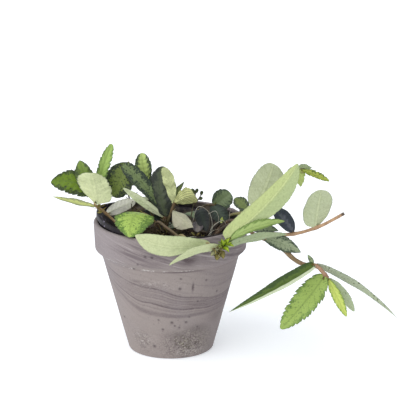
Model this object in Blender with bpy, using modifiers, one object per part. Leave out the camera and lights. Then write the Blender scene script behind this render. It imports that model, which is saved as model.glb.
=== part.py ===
# A potted pellionia: a tapered clay pot, a plastic nursery pot standing in it, potting mix, eight
# creeping shoots with toothed leaves and a weed sprig. The frame's origin is the middle of the
# pot's base, +Z is up and the side that faces -Y is the front. Lengths are in millimetres, and MM
# turns them into metres.
import math
from collections import namedtuple

import bmesh
import bpy
import numpy as np
from mathutils import Vector

MM = 0.001
GAP = 0.3
CUTTER_SPARE = 2.0

# Clay pot
POT_HEIGHT = 95.0
RIM_RADIUS = 55.0
BAND_FOOT_RADIUS = 54.3
BAND_FOOT_Z = 75.0
BODY_TOP_RADIUS = 49.5
BODY_TOP_Z = 71.0
BASE_RADIUS = 31.0
RIM_WALL = 3.6
INNER_FLOOR_RADIUS = 26.8
FLOOR = 7.0
INNER_ROUNDING = 3.0
RIM_ROUNDING = 1.6
BAND_ROUNDING = 1.2
BASE_ROUNDING = 2.0
POT_SIDES = 40
DRAIN_HOLES = 3
DRAIN_RADIUS = 3.5
DRAIN_CIRCLE = 13.0
DRAIN_SIDES = 16
ROOT_HOLE_SIDES = 12

# Nursery pot, along its own leaning axis. Its lip has sprung up and out of the clay pot at the left.
LINER_HEIGHT = 88.0
LINER_LIP_RADIUS = 50.5
LINER_LIP_DROP = 5.0
LINER_TOP_RADIUS = 49.2
LINER_BASE_RADIUS = 22.0
LINER_WALL = 1.2
LIP_EDGE = 0.35
LINER_CHAMFER = 0.8
LINER_LEAN = 2.0
LINER_BASE_X = -3.5
LINER_BASE_Z = FLOOR + GAP + LINER_BASE_RADIUS * math.sin(math.radians(LINER_LEAN))
LINER_SIDES = 32
LIP_RISE = 4.0
LIP_SPRING = 2.2

# Potting mix, on the nursery pot's axis
MIX_TOP = 68.5
MIX_CROWN = 2.5
MIX_BUMP = 0.9
RIPPLE = 2.8
MIX_RINGS = 6
MIX_SIDES = LINER_SIDES
HOLE_SPARE = 0.4
HOLE_FOOT = 66.0

# Blades
BLADE = 0.75
LEAF_FOOT = 0.55
TOOTH_DEPTH = 0.09
LONG_LEAF = 40.0
SHORT_LEAF = 24.0
STEM_STEP = 3

# Outline powers of the half width v^a (1-v)^b: where a leaf is widest and how blunt it ends.
FORMS = {
    "round": (0.55, 0.50),
    "oval": (0.65, 0.70),
    "blunt": (0.80, 0.50),
    "lance": (0.75, 1.05),
    "taper": (0.60, 1.35),
    "strap": (0.42, 0.38),
    "long": (0.34, 0.95),
    "fan": (0.80, 0.32),
    "spade": (1.35, 1.45),
    "even": (0.45, 0.65),
    "sword": (0.72, 0.65),
    "spear": (0.90, 0.95),
    "over": (1.15, 0.75),
}

Stem = namedtuple("Stem", "points radius")
Leaf = namedtuple(
    "Leaf",
    "name base tip face width form arch fold bend wave skew teeth",
    defaults=("oval", 0.06, 8, 0, 0, 0, TOOTH_DEPTH),
)
Shoot = namedtuple("Shoot", "name root stems leaves")

LEFT_SHOOT = Shoot(
    "left_shoot",
    (-30, -8),
    [
        Stem([(-30, -8, 79), (-31, -8, 85), (-36, -8, 92), (-42, -8, 98), (-48, -9, 104), (-53, -9, 108),
              (-54, -6, 116)], 1.1),
    ],
    [
        Leaf("big dark leaf", (-53, -5, 115), (-85, -2, 123.3), (-0.1, -0.9, 0.35), 18.5, "oval", 0.05, 8,
             -0.12, teeth=0.14),
        Leaf("upright dark leaf", (-53, -6, 113), (-64, -6, 140), (-0.3, -0.95, 0.1), 15.5, "oval", 0.05, 10),
        Leaf("young toothed leaf", (-53, -7, 112), (-41.5, -2, 151), (0.3, -1, 0.1), 9.5, "blunt", 0.04, 14,
             0.04, teeth=0.2),
        Leaf("pale broad leaf", (-52.6, -9.6, 108.8), (-55, -18, 134), (0.1, 0.97, -0.25), 24.5, "round",
             0.1, 8, skew=0.7),
        Leaf("low narrow leaf", (-52.4, -9.9, 107.2), (-83, -15, 116), (0.1, -0.3, 0.95), 8, "lance",
             -0.02, 12),
        Leaf("grey inner leaf", (-45.6, -8.6, 101.6), (-25, 0, 108.5), (-0.3, 0.9, -0.1), 9.5, "round",
             0.1, 6),
    ],
)

CENTRE_SHOOT = Shoot(
    "centre_shoot",
    (-4, -3),
    [
        Stem([(-4, -3, 79), (-4, -3, 88), (-4, -1, 98), (-3, 1, 105)], 1.7),
        Stem([(-4, -3, 86), (-14, 2, 94), (-23, 4, 100), (-28, 4, 106), (-30.5, 3.8, 113),
              (-32, 3.5, 119)], 0.7),
        Stem([(-4, -1, 96), (-14, 4, 112), (-23, 6, 126), (-29, 5.5, 134), (-30, 4.7, 136)], 0.8),
        Stem([(-4, -1, 96), (-10, 8, 106), (-15, 13, 113), (-18, 14, 119)], 0.8),
        Stem([(-4, -3, 84), (-10, -5, 93), (-15.5, -7, 99.5), (-19.5, -9, 102)], 0.9),
        Stem([(-4, -3, 88), (-1, -4, 97), (3, -5, 109)], 1.1),
    ],
    [
        Leaf("mottled leaf", (-30, 4.5, 135.5), (-42, 2, 111.5), (-0.1, -0.95, 0.2), 22, "round", 0.08, 6),
        Leaf("arched leaf", (-3.8, 0.8, 98.5), (-33.5, -6, 137), (0.35, -0.8, 0.45), 12.5, "fan",
             0.05, 8, -0.02),
        Leaf("bright small leaf", (-18, 14, 118), (-21, 16, 140), (0, -0.95, 0.25), 12.5, "round", 0.05, 10),
        Leaf("dark blunt leaf", (-3, -3, 98), (-6, 1, 134), (-0.1, -0.95, 0.2), 17, "round", 0.03, 6, 0.08),
        Leaf("pale waved leaf", (2.2, -4.8, 107), (-4.6, -8, 135.5), (0.15, 0.95, 0.2), 9, "blunt", 0.03, 8,
             0.03, 0.9),
        Leaf("crinkled leaf", (2.5, -5, 108.3), (17.5, -8, 115), (-0.2, 0.9, 0.3), 16, "fan", 0.08, 8,
             wave=0.5),
        Leaf("dark tip", (-2.8, 1.2, 103), (10, 8, 121), (-0.3, -0.8, 0.5), 6, "lance", 0.05, 10),
        Leaf("slanting pale leaf", (-4.2, -2, 97), (-33.2, -14, 122), (-0.4, 0.95, 0), 6, "oval", 0.02, 12,
             teeth=0.03),
        Leaf("dark lying leaf", (-5, 0, 95), (-26, 3, 97), (0.1, -0.6, 0.8), 10, "oval", 0.08, 6),
        Leaf("drooping bright leaf", (-19, -9, 101.8), (-27.8, -50, 96.4), (0.1, -0.1, 1), 28, "oval",
             0.145, -8, -0.05),
        Leaf("drooping beige leaf", (1, -4.8, 103.5), (16.6, -12, 92.3), (-0.39, 0.79, -0.48), 17.4, "spade",
             0.03, 38, teeth=0.04),
        Leaf("inner low leaf", (-4, -2, 88), (8, 14, 86), (0, -0.2, 1), 11, "oval", 0.08, 8),
        Leaf("inner back leaf", (-4, 0, 97), (-18, 18, 97), (0, -0.2, 1), 12, "oval", 0.1, 8),
    ],
)

INNER_SHOOT = Shoot(
    "inner_shoot",
    (20, 10),
    [
        Stem([(20, 10, 79), (20, 11, 90), (21, 12, 98), (25, 13, 102), (32, 13, 102)], 1.0),
    ],
    [
        Leaf("dark drooping leaf", (21, 12, 100), (26, -7, 88), (-0.2, -0.75, 0.6), 11, "oval", 0.14, 6),
        Leaf("dark round leaf", (30, 13, 102), (39, 3, 91), (0.1, -0.8, 0.6), 13, "round", 0.1, 6),
        Leaf("small purple leaf", (20, 11, 91), (19.5, -12, 89), (-0.1, -0.3, 0.95), 8.5, "blunt", 0.06, 6),
        Leaf("green round leaf", (31, 13, 101), (43, 14, 111), (0.1, -0.95, 0.3), 15.5, "round", 0.05, 6),
        Leaf("inner short leaf", (20, 11, 92), (10, 26, 92), (0, -0.2, 1), 10, "oval", 0.1, 6),
    ],
)

BACK_RIGHT_SHOOT = Shoot(
    "back_right_shoot",
    (31, 11),
    [
        Stem([(31, 11, 79), (35, 10, 88), (43, 7, 96), (50, 2, 99), (60, -6, 104), (75, -15, 118),
              (90, -28, 140)], 1.2),
    ],
    [
        Leaf("pale round leaf", (60.5, -7, 105), (73, -10, 138.5), (0.35, 0.9, 0), 23, "round", 0.08, 6,
             skew=-0.35, teeth=0.04),
        Leaf("side toothed leaf", (56, -3, 102), (46, 10, 108), (0, -0.85, 0.5), 10, "oval", 0.08, 6,
             teeth=0.14),
        Leaf("tip leaf right", (89, -28, 139.5), (98.5, -33, 141.5), (-0.3, 0.8, 0.3), 7, "lance", 0.06, 10),
        Leaf("tip leaf down", (89, -28, 139), (91, -34, 128), (0.2, 0.9, 0.3), 9, "long", 0.06, 10,
             teeth=0.2),
        Leaf("tip leaf back", (89, -28, 139), (81.8, -27, 137.3), (0.3, -0.8, 0.3), 5, "oval", 0.06, 10),
        Leaf("young narrow leaf", (91, -29, 139), (111, -30, 131), (0, -0.7, 0.7), 6.5, "oval", 0.03, 22,
             teeth=0.2),
        Leaf("hidden low leaf", (50, 2, 98), (62, 22, 92), (0, -0.1, 1), 11, "oval", 0.1, 6),
        Leaf("hidden high leaf", (62, -7, 105), (72, 12, 108), (0.1, -0.2, 1), 10, "oval", 0.1, 6),
    ],
)

FRONT_SHOOT = Shoot(
    "front_shoot",
    (-13, -13),
    [
        Stem([(-13, -13, 79), (-12, -13, 90), (-9, -14, 97), (-3, -19, 94.5), (3, -25, 91.8), (6, -34, 92),
              (7, -42, 95.2), (9, -49.5, 97.4), (13, -55, 96), (20, -56.3, 95), (26.5, -57.2, 94.2),
              (30, -58, 90.5), (34, -56, 88), (40, -51, 94)], 1.1),
    ],
    [
        Leaf("large upright leaf", (39, -51, 95), (87.8, -50, 148.7), (0.3, 0.9, -0.25), 19, "sword",
             0.04, 18, 0.045, skew=-0.65, teeth=0.05),
        Leaf("leaf over the rim", (27.5, -57.3, 94.6), (-23.5, -57, 99.8), (0.1, 0.95, 0.2), 17.5,
             "over", -0.05, 5, -0.1, skew=0.4, teeth=0.04),
        Leaf("narrow front leaf", (36.8, -54, 90.4), (0, -66, 81.2), (0.1, 0.8, 0.5), 8.5, "even", -0.02, 8,
             0.15),
        Leaf("bright side leaf", (40, -52, 94), (79, -56, 109.5), (-0.3, -0.45, 0.85), 11, "oval", 0.1, 10,
             teeth=0.2),
        Leaf("grey side leaf", (36.6, -54.3, 89.7), (81, -50, 98.4), (0.1, 0.65, 0.7), 12.5, "oval", 0.05, 8),
        Leaf("bud leaf 1", (38, -53, 92), (41.5, -57, 98), (0, -0.9, 0.4), 4.6, "lance", 0.15, 20),
        Leaf("bud leaf 2", (37.8, -53.4, 91.6), (36, -58.5, 97), (0.1, -0.9, 0.4), 4.2, "lance", 0.15, 20),
        Leaf("bud leaf 3", (37.6, -53.5, 91.2), (44.5, -58, 92), (0.2, -0.5, 0.8), 4.6, "lance", 0.15, 20),
        Leaf("bud leaf 4", (36.8, -54, 90.5), (41, -60, 88.5), (0.2, -0.7, 0.6), 4.2, "lance", 0.15, 20),
        Leaf("bud leaf 5", (36, -54.8, 89.3), (34.5, -60, 93.5), (-0.3, -0.6, 0.7), 4.6, "lance", 0.15, 20),
        Leaf("brown bud scale 1", (34.5, -56, 88.8), (32.5, -60, 82.8), (-0.2, -0.9, 0.2), 5.5, "oval",
             0.15, 20),
        Leaf("brown bud scale 2", (33.5, -56.3, 88.6), (28.5, -60, 86), (-0.2, -0.7, 0.6), 4.6, "oval",
             0.15, 20),
        Leaf("brown bud scale 3", (35, -55.6, 88.6), (37, -60.5, 84), (0.3, -0.9, 0.2), 4.6, "oval", 0.15,
             20),
    ],
)

CUT_SHOOT = Shoot(
    "cut_shoot",
    (30, -9),
    [
        Stem([(30, -9, 79), (33, -10, 88), (40, -14, 97), (48, -19, 99), (56, -24, 97), (65, -28, 94.5),
              (79, -32, 93), (91, -34, 95), (104, -36, 100), (113, -37, 105), (121, -38, 110)], 1.45),
    ],
    [
        Leaf("slate leaf", (86.5, -33, 95), (72, -28, 112), (0.3, -0.9, 0.3), 11.5, "oval", 0.08, 8,
             teeth=0.02),
        Leaf("pale oval leaf", (101.5, -36, 99), (105, -38, 127), (-0.15, 1, 0.1), 20, "round", 0.06, 6,
             skew=-0.5, teeth=0.02),
        Leaf("dark strip leaf", (57, -25, 95.8), (76, -34.5, 96.4), (0, -0.6, 0.8), 10, "lance", 0.05, 8),
    ],
)

TRAILING_SHOOT = Shoot(
    "trailing_shoot",
    (28, -19),
    [
        Stem([(28, -19, 79), (32, -21, 89), (41, -25, 98), (50, -29, 98.5), (58, -32, 94), (67, -35, 90),
              (78, -38, 85), (87, -41, 77.5), (94, -43, 74.5), (102, -44, 73.5), (110, -44, 65)], 1.4),
        Stem([(79, -38.3, 84.4), (87, -41, 77.5), (94, -43, 74.5), (102, -44, 73.6), (106, -44, 70),
              (109.5, -44, 65.5)], 1.7),
    ],
    [
        Leaf("dark speckled leaf", (64, -34, 92), (91.5, -38, 81.8), (0.2, -0.8, 0.6), 12, "spear", 0.06, 8),
        Leaf("long folded leaf", (101, -44.8, 75), (41, -62, 46), (0.3, -0.5, 0.9), 10.5, "long", 0.03, 20,
             0.03, teeth=0.05),
        Leaf("broad toothed leaf", (108, -44.5, 67), (77, -60, 33), (-0.3, -0.9, 0.4), 20, "even", 0.04, 10,
             0.035, 0.6, teeth=0.16),
        Leaf("bright narrow leaf", (110, -45, 65), (123, -54, 40), (0.1, -0.95, 0.2), 7.5, "oval", 0.04, 12,
             teeth=0.16),
        Leaf("grey hanging leaf", (110, -43.5, 65), (129, -46, 41), (0.2, 0.9, 0.3), 9, "oval", 0.05, 8),
        Leaf("long grey leaf", (101, -43, 74.5), (160, -36, 33), (0.35, 0.8, 0.45), 7.8, "long", 0.06, 8,
             -0.01),
        Leaf("stipule", (100, -43, 74.5), (96, -40, 81), (0.3, -0.9, 0.2), 3.5, "lance", 0.02, 10),
    ],
)

BACK_SHOOT = Shoot(
    "back_shoot",
    (-10, 24),
    [
        Stem([(-10, 24, 79), (-10, 29, 89), (-9, 38, 97), (-8, 48, 99.5), (-8, 56, 98), (-9, 62, 92),
              (-10, 66, 83), (-10, 68, 72), (-9, 69, 62)], 1.2),
    ],
    [
        Leaf("rim leaf", (-8, 45, 99), (7, 62, 97), (0, 0.1, 1), 12, "oval", 0.1, 6),
        Leaf("back leaf 1", (-8, 59, 95), (-33, 70, 80), (-0.1, 0.6, 0.8), 14, "oval", 0.1, 6),
        Leaf("back leaf 2", (-9, 63, 90), (14, 75, 76), (0.2, 0.7, 0.7), 15, "oval", 0.1, 6),
        Leaf("back leaf 3", (-10, 66, 82), (-38, 76, 62), (-0.2, 0.8, 0.5), 18, "oval", 0.1, 6),
        Leaf("back leaf 4", (-10, 68, 72), (13, 80, 50), (0.2, 0.85, 0.4), 17, "oval", 0.1, 6),
        Leaf("back leaf 5", (-9, 69, 63), (-24, 79, 36), (-0.1, 0.9, 0.3), 14, "oval", 0.08, 6),
        Leaf("back leaf 6", (-9, 69, 63), (1, 76, 40), (0.1, 0.9, 0.3), 9, "lance", 0.06, 8, teeth=0.14),
    ],
)

WEED_SPRIG = Shoot(
    "weed_sprig",
    (12, 2),
    [
        Stem([(12, 2, 79), (14, 4, 92), (16, 6, 103), (18, 7, 113)], 0.45),
        Stem([(16, 6, 103), (19, 6, 107), (22, 5, 112)], 0.4),
    ],
    [
        Leaf("sprig leaf 1", (17.6, 6.8, 112), (15, 6.6, 116), (0, -1, 0.2), 2.6, "round", 0, 6),
        Leaf("sprig leaf 2", (18, 7, 112.6), (19.4, 6.8, 116), (0, -1, 0.2), 2.4, "round", 0, 6),
        Leaf("sprig leaf 3", (16.6, 6.3, 106.4), (18.2, 6, 110), (0, -1, 0.2), 2.2, "round", 0, 6),
        Leaf("sprig leaf 4", (21.8, 5.1, 111.6), (22.6, 4.6, 115), (0, -1, 0.2), 2.4, "round", 0, 6),
        Leaf("sprig leaf 5", (20, 5.7, 108.4), (23, 5.2, 109.6), (0, -1, 0.2), 2.4, "round", 0, 6),
    ],
)

SHOOTS = [
    LEFT_SHOOT,
    CENTRE_SHOOT,
    INNER_SHOOT,
    BACK_RIGHT_SHOOT,
    FRONT_SHOOT,
    CUT_SHOOT,
    TRAILING_SHOOT,
    BACK_SHOOT,
    WEED_SPRIG,
]


def make_material(name, color, roughness):
    material = bpy.data.materials.new(name)
    material.use_nodes = True
    shader = material.node_tree.nodes["Principled BSDF"]
    shader.inputs["Base Color"].default_value = (*color, 1)
    shader.inputs["Roughness"].default_value = roughness
    shader.inputs["Metallic"].default_value = 0
    return material


def add_object(name, mesh, collection):
    thing = bpy.data.objects.new(name, mesh)
    collection.objects.link(thing)
    return thing


def arc(centre_r, centre_z, radius, start, end, steps):
    """Points of a rounded edge in the (r, z) plane, from one angle to another in degrees."""
    angles = np.radians(np.linspace(start, end, steps + 1))
    return [(centre_r + radius * math.cos(a), centre_z + radius * math.sin(a)) for a in angles]


def turned(name, profile, sides, collection, material):
    """A solid turned round Z: the profile runs from the axis up the inside and down the outside."""
    mesh = bpy.data.meshes.new(name)
    points = [(r * MM, 0, z * MM) for r, z in profile]
    mesh.from_pydata(points, [(i, i + 1) for i in range(len(points) - 1)], [])
    thing = add_object(name, mesh, collection)
    screw = thing.modifiers.new("turned", "SCREW")
    screw.steps = sides
    screw.render_steps = sides
    screw.use_merge_vertices = True
    screw.merge_threshold = 0.00001
    mesh.materials.append(material)
    return thing


def applied(thing):
    """Replaces an object's data with its evaluated mesh, so that it has no modifiers left."""
    graph = bpy.context.evaluated_depsgraph_get()
    mesh = bpy.data.meshes.new_from_object(thing.evaluated_get(graph))
    mesh.name = thing.name
    thing.modifiers.clear()
    thing.data = mesh
    return thing


def upright_cutter(name, x, y, foot, top, radius, sides, cutters):
    """A cylinder that cuts a plain hole along Z."""
    mesh = bpy.data.meshes.new(name)
    shape = bmesh.new()
    bmesh.ops.create_cone(
        shape,
        cap_ends=True,
        segments=sides,
        radius1=radius * MM,
        radius2=radius * MM,
        depth=(top - foot) * MM,
    )
    shape.to_mesh(mesh)
    shape.free()
    cutter = add_object(name, mesh, cutters)
    cutter.location = (x * MM, y * MM, (foot + top) / 2 * MM)
    cutter.display_type = "WIRE"
    cutter.hide_render = True
    return cutter


def cut(thing, cutters):
    """Subtracts every cutter in a collection from an object."""
    boolean = thing.modifiers.new("holes", "BOOLEAN")
    boolean.operation = "DIFFERENCE"
    boolean.operand_type = "COLLECTION"
    boolean.collection = cutters
    return boolean


def drain_places(centre_x):
    """The middles of the drain holes, on a circle round a pot's axis."""
    angles = [math.tau * (i + 0.5) / DRAIN_HOLES for i in range(DRAIN_HOLES)]
    return [(centre_x + DRAIN_CIRCLE * math.cos(a), DRAIN_CIRCLE * math.sin(a)) for a in angles]


def add_drain_cutters(name, centre_x, foot, top):
    cutters = new_collection(name)
    for i, (x, y) in enumerate(drain_places(centre_x)):
        upright_cutter(f"{name}_{i + 1}", x, y, foot, top, DRAIN_RADIUS, DRAIN_SIDES, cutters)
    return cutters


def new_collection(name):
    collection = bpy.data.collections.new(name)
    bpy.context.scene.collection.children.link(collection)
    return collection


def add_clay_pot(collection):
    inner_rim = RIM_RADIUS - RIM_WALL
    corner = INNER_FLOOR_RADIUS - INNER_ROUNDING
    profile = [(0, FLOOR), (corner, FLOOR)]
    profile += arc(corner, FLOOR + INNER_ROUNDING, INNER_ROUNDING, -90, -15, 2)
    profile += arc(inner_rim + RIM_ROUNDING, POT_HEIGHT - RIM_ROUNDING, RIM_ROUNDING, 180, 90, 3)
    profile += arc(RIM_RADIUS - RIM_ROUNDING, POT_HEIGHT - RIM_ROUNDING, RIM_ROUNDING, 90, 0, 3)
    profile += arc(BAND_FOOT_RADIUS - BAND_ROUNDING, BAND_FOOT_Z + BAND_ROUNDING, BAND_ROUNDING, 0, -70, 2)
    profile += [(BODY_TOP_RADIUS, BODY_TOP_Z)]
    profile += arc(BASE_RADIUS - BASE_ROUNDING, BASE_ROUNDING, BASE_ROUNDING, -15, -90, 3)
    profile += [(0, 0)]
    clay = make_material("clay", (0.34, 0.30, 0.28), 0.85)
    pot = turned("clay_pot", profile, POT_SIDES, collection, clay)
    cut(pot, add_drain_cutters("clay_drain_cutters", 0, -CUTTER_SPARE, FLOOR + CUTTER_SPARE))
    return pot


def liner_profile(spare):
    """The nursery pot's inside, moved inwards by a spare, from the axis up to below its lip."""
    inner_floor = LINER_WALL + spare
    top = LINER_HEIGHT - LINER_LIP_DROP
    slope = (LINER_TOP_RADIUS - LINER_BASE_RADIUS) / top
    return [
        (0, inner_floor),
        (LINER_BASE_RADIUS - LINER_WALL - spare, inner_floor),
        (LINER_TOP_RADIUS - LINER_WALL - spare - slope * inner_floor, top - inner_floor),
    ]


def lean(thing):
    """Stands an object on the nursery pot's leaning axis."""
    thing.location = (LINER_BASE_X * MM, 0, LINER_BASE_Z * MM)
    thing.rotation_euler = (0, math.radians(LINER_LEAN), 0)


def add_nursery_pot(collection):
    inside = liner_profile(0)
    drop = LINER_HEIGHT - LINER_LIP_DROP
    profile = inside + [
        (LINER_LIP_RADIUS - LINER_WALL, LINER_HEIGHT - LINER_WALL),
        (LINER_LIP_RADIUS - LINER_WALL + LIP_EDGE, LINER_HEIGHT),
        (LINER_LIP_RADIUS - LIP_EDGE, LINER_HEIGHT),
        (LINER_LIP_RADIUS, LINER_HEIGHT - LIP_EDGE),
        (LINER_LIP_RADIUS, drop + LINER_WALL),
        (LINER_TOP_RADIUS, drop),
        (LINER_BASE_RADIUS, LINER_CHAMFER),
        (LINER_BASE_RADIUS - LINER_CHAMFER, 0),
        (0, 0),
    ]
    plastic = make_material("black plastic", (0.03, 0.028, 0.032), 0.5)
    liner = turned("nursery_pot", profile, LINER_SIDES, collection, plastic)
    applied(liner)
    for vertex in liner.data.vertices:
        radius = math.hypot(vertex.co.x, vertex.co.y)
        if vertex.co.z > (drop - LINER_WALL) * MM:
            share = max(0, -vertex.co.x / radius) ** 3
            vertex.co.x *= 1 + LIP_SPRING * share * MM / radius
            vertex.co.y *= 1 + LIP_SPRING * share * MM / radius
            vertex.co.z += LIP_RISE * share * MM
    lean(liner)
    foot = LINER_BASE_Z - CUTTER_SPARE
    top = LINER_BASE_Z + 2 * CUTTER_SPARE
    cut(liner, add_drain_cutters("liner_drain_cutters", LINER_BASE_X, foot, top))
    return liner


def add_potting_mix(collection, roots):
    floor_middle, wall_foot, wall_top = liner_profile(GAP)
    share = (MIX_TOP - wall_foot[1]) / (wall_top[1] - wall_foot[1])
    edge = wall_foot[0] + share * (wall_top[0] - wall_foot[0])
    outward = [i / MIX_RINGS for i in range(MIX_RINGS)]
    rings = [(edge * far, MIX_TOP + MIX_CROWN * (1 - far**2)) for far in outward]
    profile = rings + [(edge, MIX_TOP), wall_foot, floor_middle]
    peat = make_material("potting mix", (0.05, 0.036, 0.025), 0.95)
    mix = turned("potting_mix", profile, MIX_SIDES, collection, peat)
    lean(mix)
    applied(mix)
    for vertex in mix.data.vertices:
        x, y, z = vertex.co / MM
        inside = 1 - math.hypot(x, y) / edge
        if z > MIX_TOP - 1 and inside > 0.02:
            ripple = math.sin(x / RIPPLE + 1) * math.cos(y / RIPPLE) + math.sin((x / 2 - y) / RIPPLE)
            vertex.co.z += MIX_BUMP * ripple * min(1, 4 * inside) * MM
    cutters = new_collection("root_hole_cutters")
    for name, (x, y), radius in roots:
        upright_cutter(name, x, y, HOLE_FOOT - GAP, POT_HEIGHT, radius + HOLE_SPARE, ROOT_HOLE_SIDES, cutters)
    cut(mix, cutters)
    return mix


def smooth_path(points, steps):
    """Points along a Catmull-Rom curve through the given ones."""
    points = [Vector(p) for p in points]
    ends = [2 * points[0] - points[1], *points, 2 * points[-1] - points[-2]]
    path = []
    for a, b, c, d in zip(ends, ends[1:], ends[2:], ends[3:]):
        for i in range(steps):
            t = i / steps
            square = 2 * a - 5 * b + 4 * c - d
            cube = 3 * b - a - 3 * c + d
            path.append(0.5 * (2 * b + (c - a) * t + square * t**2 + cube * t**3))
    return path + [points[-1]]


def stem_mesh(stem, root, material):
    """A stem as a round tube. A root, if given, runs straight down its hole in the potting mix."""
    path = smooth_path(stem.points, STEM_STEP)
    if root:
        path = [Vector((*root, HOLE_FOOT + GAP)), *path]
    curve = bpy.data.curves.new("stem", "CURVE")
    curve.dimensions = "3D"
    curve.bevel_depth = stem.radius * MM
    curve.bevel_resolution = 1
    curve.use_fill_caps = True
    spline = curve.splines.new("POLY")
    spline.points.add(len(path) - 1)
    for i, point in enumerate(path):
        spline.points[i].co = (*(point * MM), 1)
        spline.points[i].radius = 1 - 0.25 * i / len(path)
    guide = bpy.data.objects.new("stem", curve)
    bpy.context.scene.collection.objects.link(guide)
    graph = bpy.context.evaluated_depsgraph_get()
    mesh = bpy.data.meshes.new_from_object(guide.evaluated_get(graph))
    bpy.data.objects.remove(guide)
    bpy.data.curves.remove(curve)
    shape = bmesh.new()
    shape.from_mesh(mesh)
    bmesh.ops.remove_doubles(shape, verts=shape.verts, dist=0.00001)
    bmesh.ops.recalc_face_normals(shape, faces=shape.faces)
    shape.to_mesh(mesh)
    shape.free()
    mesh.materials.clear()
    mesh.materials.append(material)
    return mesh


def leaf_frame(leaf):
    """The leaf's length and its axes: along the midrib, to its side, and out of its upper side."""
    base = np.array(leaf.base, float)
    reach = np.array(leaf.tip, float) - base
    length = np.linalg.norm(reach)
    along = reach / length
    face = np.array(leaf.face, float)
    up = face - along * (face @ along)
    up /= np.linalg.norm(up)
    return base, length, along, np.cross(up, along), up


def half_width(leaf, v, hand):
    """Half the leaf's width at v, from 0 at its foot to 1 at its tip, with no teeth. A skewed leaf is
    fuller at the foot on one hand, 1 or -1, than on the other."""
    a, b = FORMS[leaf.form]
    a *= 1 - hand * leaf.skew
    widest = a / (a + b)
    full = leaf.width / 2 / (widest**a * (1 - widest) ** b)
    return np.maximum(full * v**a * (1 - v) ** b, LEAF_FOOT * (1 - v))


def leaf_rows(length, width, deep):
    """Where the blade's cross rows lie: a notch and a forward tooth in turn, then the tip."""
    teeth = 5
    if length > LONG_LEAF:
        teeth = 7
    elif length < SHORT_LEAF:
        teeth = 4
    if width < 4:
        teeth = 2
    notches = (np.arange(teeth) + 0.25) / (teeth + 0.25)
    tips = notches + 0.7 / (teeth + 0.25)
    rows = np.sort(np.concatenate([[0], notches, tips]))
    depth = np.where(np.isin(rows, tips), 0, deep)
    return rows, depth


def leaf_surface(leaf):
    """The middle surface of a blade, as three points for each row: edge, midrib and edge."""
    base, length, along, side, up = leaf_frame(leaf)
    rows, depth = leaf_rows(length, leaf.width, leaf.teeth)
    bow = 4 * rows * (1 - rows)
    rib = base + length * np.outer(rows, along)
    rib += length * np.outer(bow, leaf.arch * up + leaf.bend * side)
    fold = math.radians(leaf.fold)
    wave = leaf.wave * np.sin(3 * math.tau * rows) * bow
    edges = []
    for hand in (-1, 1):
        half = half_width(leaf, rows, hand) * (1 - depth)
        outward = np.outer(hand * half * math.cos(fold), side)
        lift = np.outer(half * math.sin(fold) + wave, up)
        edges.append(rib + outward + lift)
    return np.stack([edges[0], rib, edges[1]], 1), base + length * along


def leaf_mesh(leaf, material):
    """The blade as an open surface of triangles, which Solidify then thickens."""
    surface, tip = leaf_surface(leaf)
    points = [tuple(p * MM) for p in surface.reshape(-1, 3)] + [tuple(tip * MM)]
    last = len(points) - 1
    faces = []
    for row in range(len(surface) - 1):
        a = 3 * row
        faces += [(a, a + 1, a + 3), (a + 1, a + 4, a + 3), (a + 1, a + 2, a + 5), (a + 1, a + 5, a + 4)]
    faces += [(last - 3, last - 2, last), (last - 2, last - 1, last)]
    mesh = bpy.data.meshes.new(leaf.name)
    mesh.from_pydata(points, [], faces)
    mesh.materials.append(material)
    return mesh


def add_shoot(shoot, collection, materials):
    """One leafy stem: its stems and blades are joined into a single body."""
    stem_material, leaf_material = materials
    parts = new_collection(shoot.name + "_parts")
    body = add_object(shoot.name, stem_mesh(shoot.stems[0], shoot.root, stem_material), collection)
    for stem in shoot.stems[1:]:
        add_object("branch", stem_mesh(stem, None, stem_material), parts)
    for leaf in shoot.leaves:
        blade = add_object(leaf.name, leaf_mesh(leaf, leaf_material), parts)
        solid = blade.modifiers.new("thickness", "SOLIDIFY")
        solid.thickness = min(BLADE, 0.62 + leaf.width / 100) * MM
        solid.offset = 0
        applied(blade)
    union = body.modifiers.new("joined", "BOOLEAN")
    union.operation = "UNION"
    union.operand_type = "COLLECTION"
    union.collection = parts
    applied(body)
    for part in list(parts.objects):
        bpy.data.objects.remove(part)
    bpy.data.collections.remove(parts)
    return body


def main():
    for thing in list(bpy.data.objects):
        bpy.data.objects.remove(thing)
    plant = new_collection("potted_pellionia")
    clay_pot = add_clay_pot(plant)
    nursery_pot = add_nursery_pot(plant)
    roots = [(shoot.name + "_hole", shoot.root, shoot.stems[0].radius) for shoot in SHOOTS]
    mix = add_potting_mix(plant, roots)
    stem_material = make_material("stem", (0.35, 0.22, 0.12), 0.6)
    leaf_material = make_material("leaf", (0.18, 0.32, 0.09), 0.45)
    for shoot in SHOOTS:
        add_shoot(shoot, plant, (stem_material, leaf_material))
    for thing in (clay_pot, nursery_pot, mix):
        applied(thing)
        thing.data.shade_smooth()
        thing.data.set_sharp_from_angle(angle=math.radians(35))


main()
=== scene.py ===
import math

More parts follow.
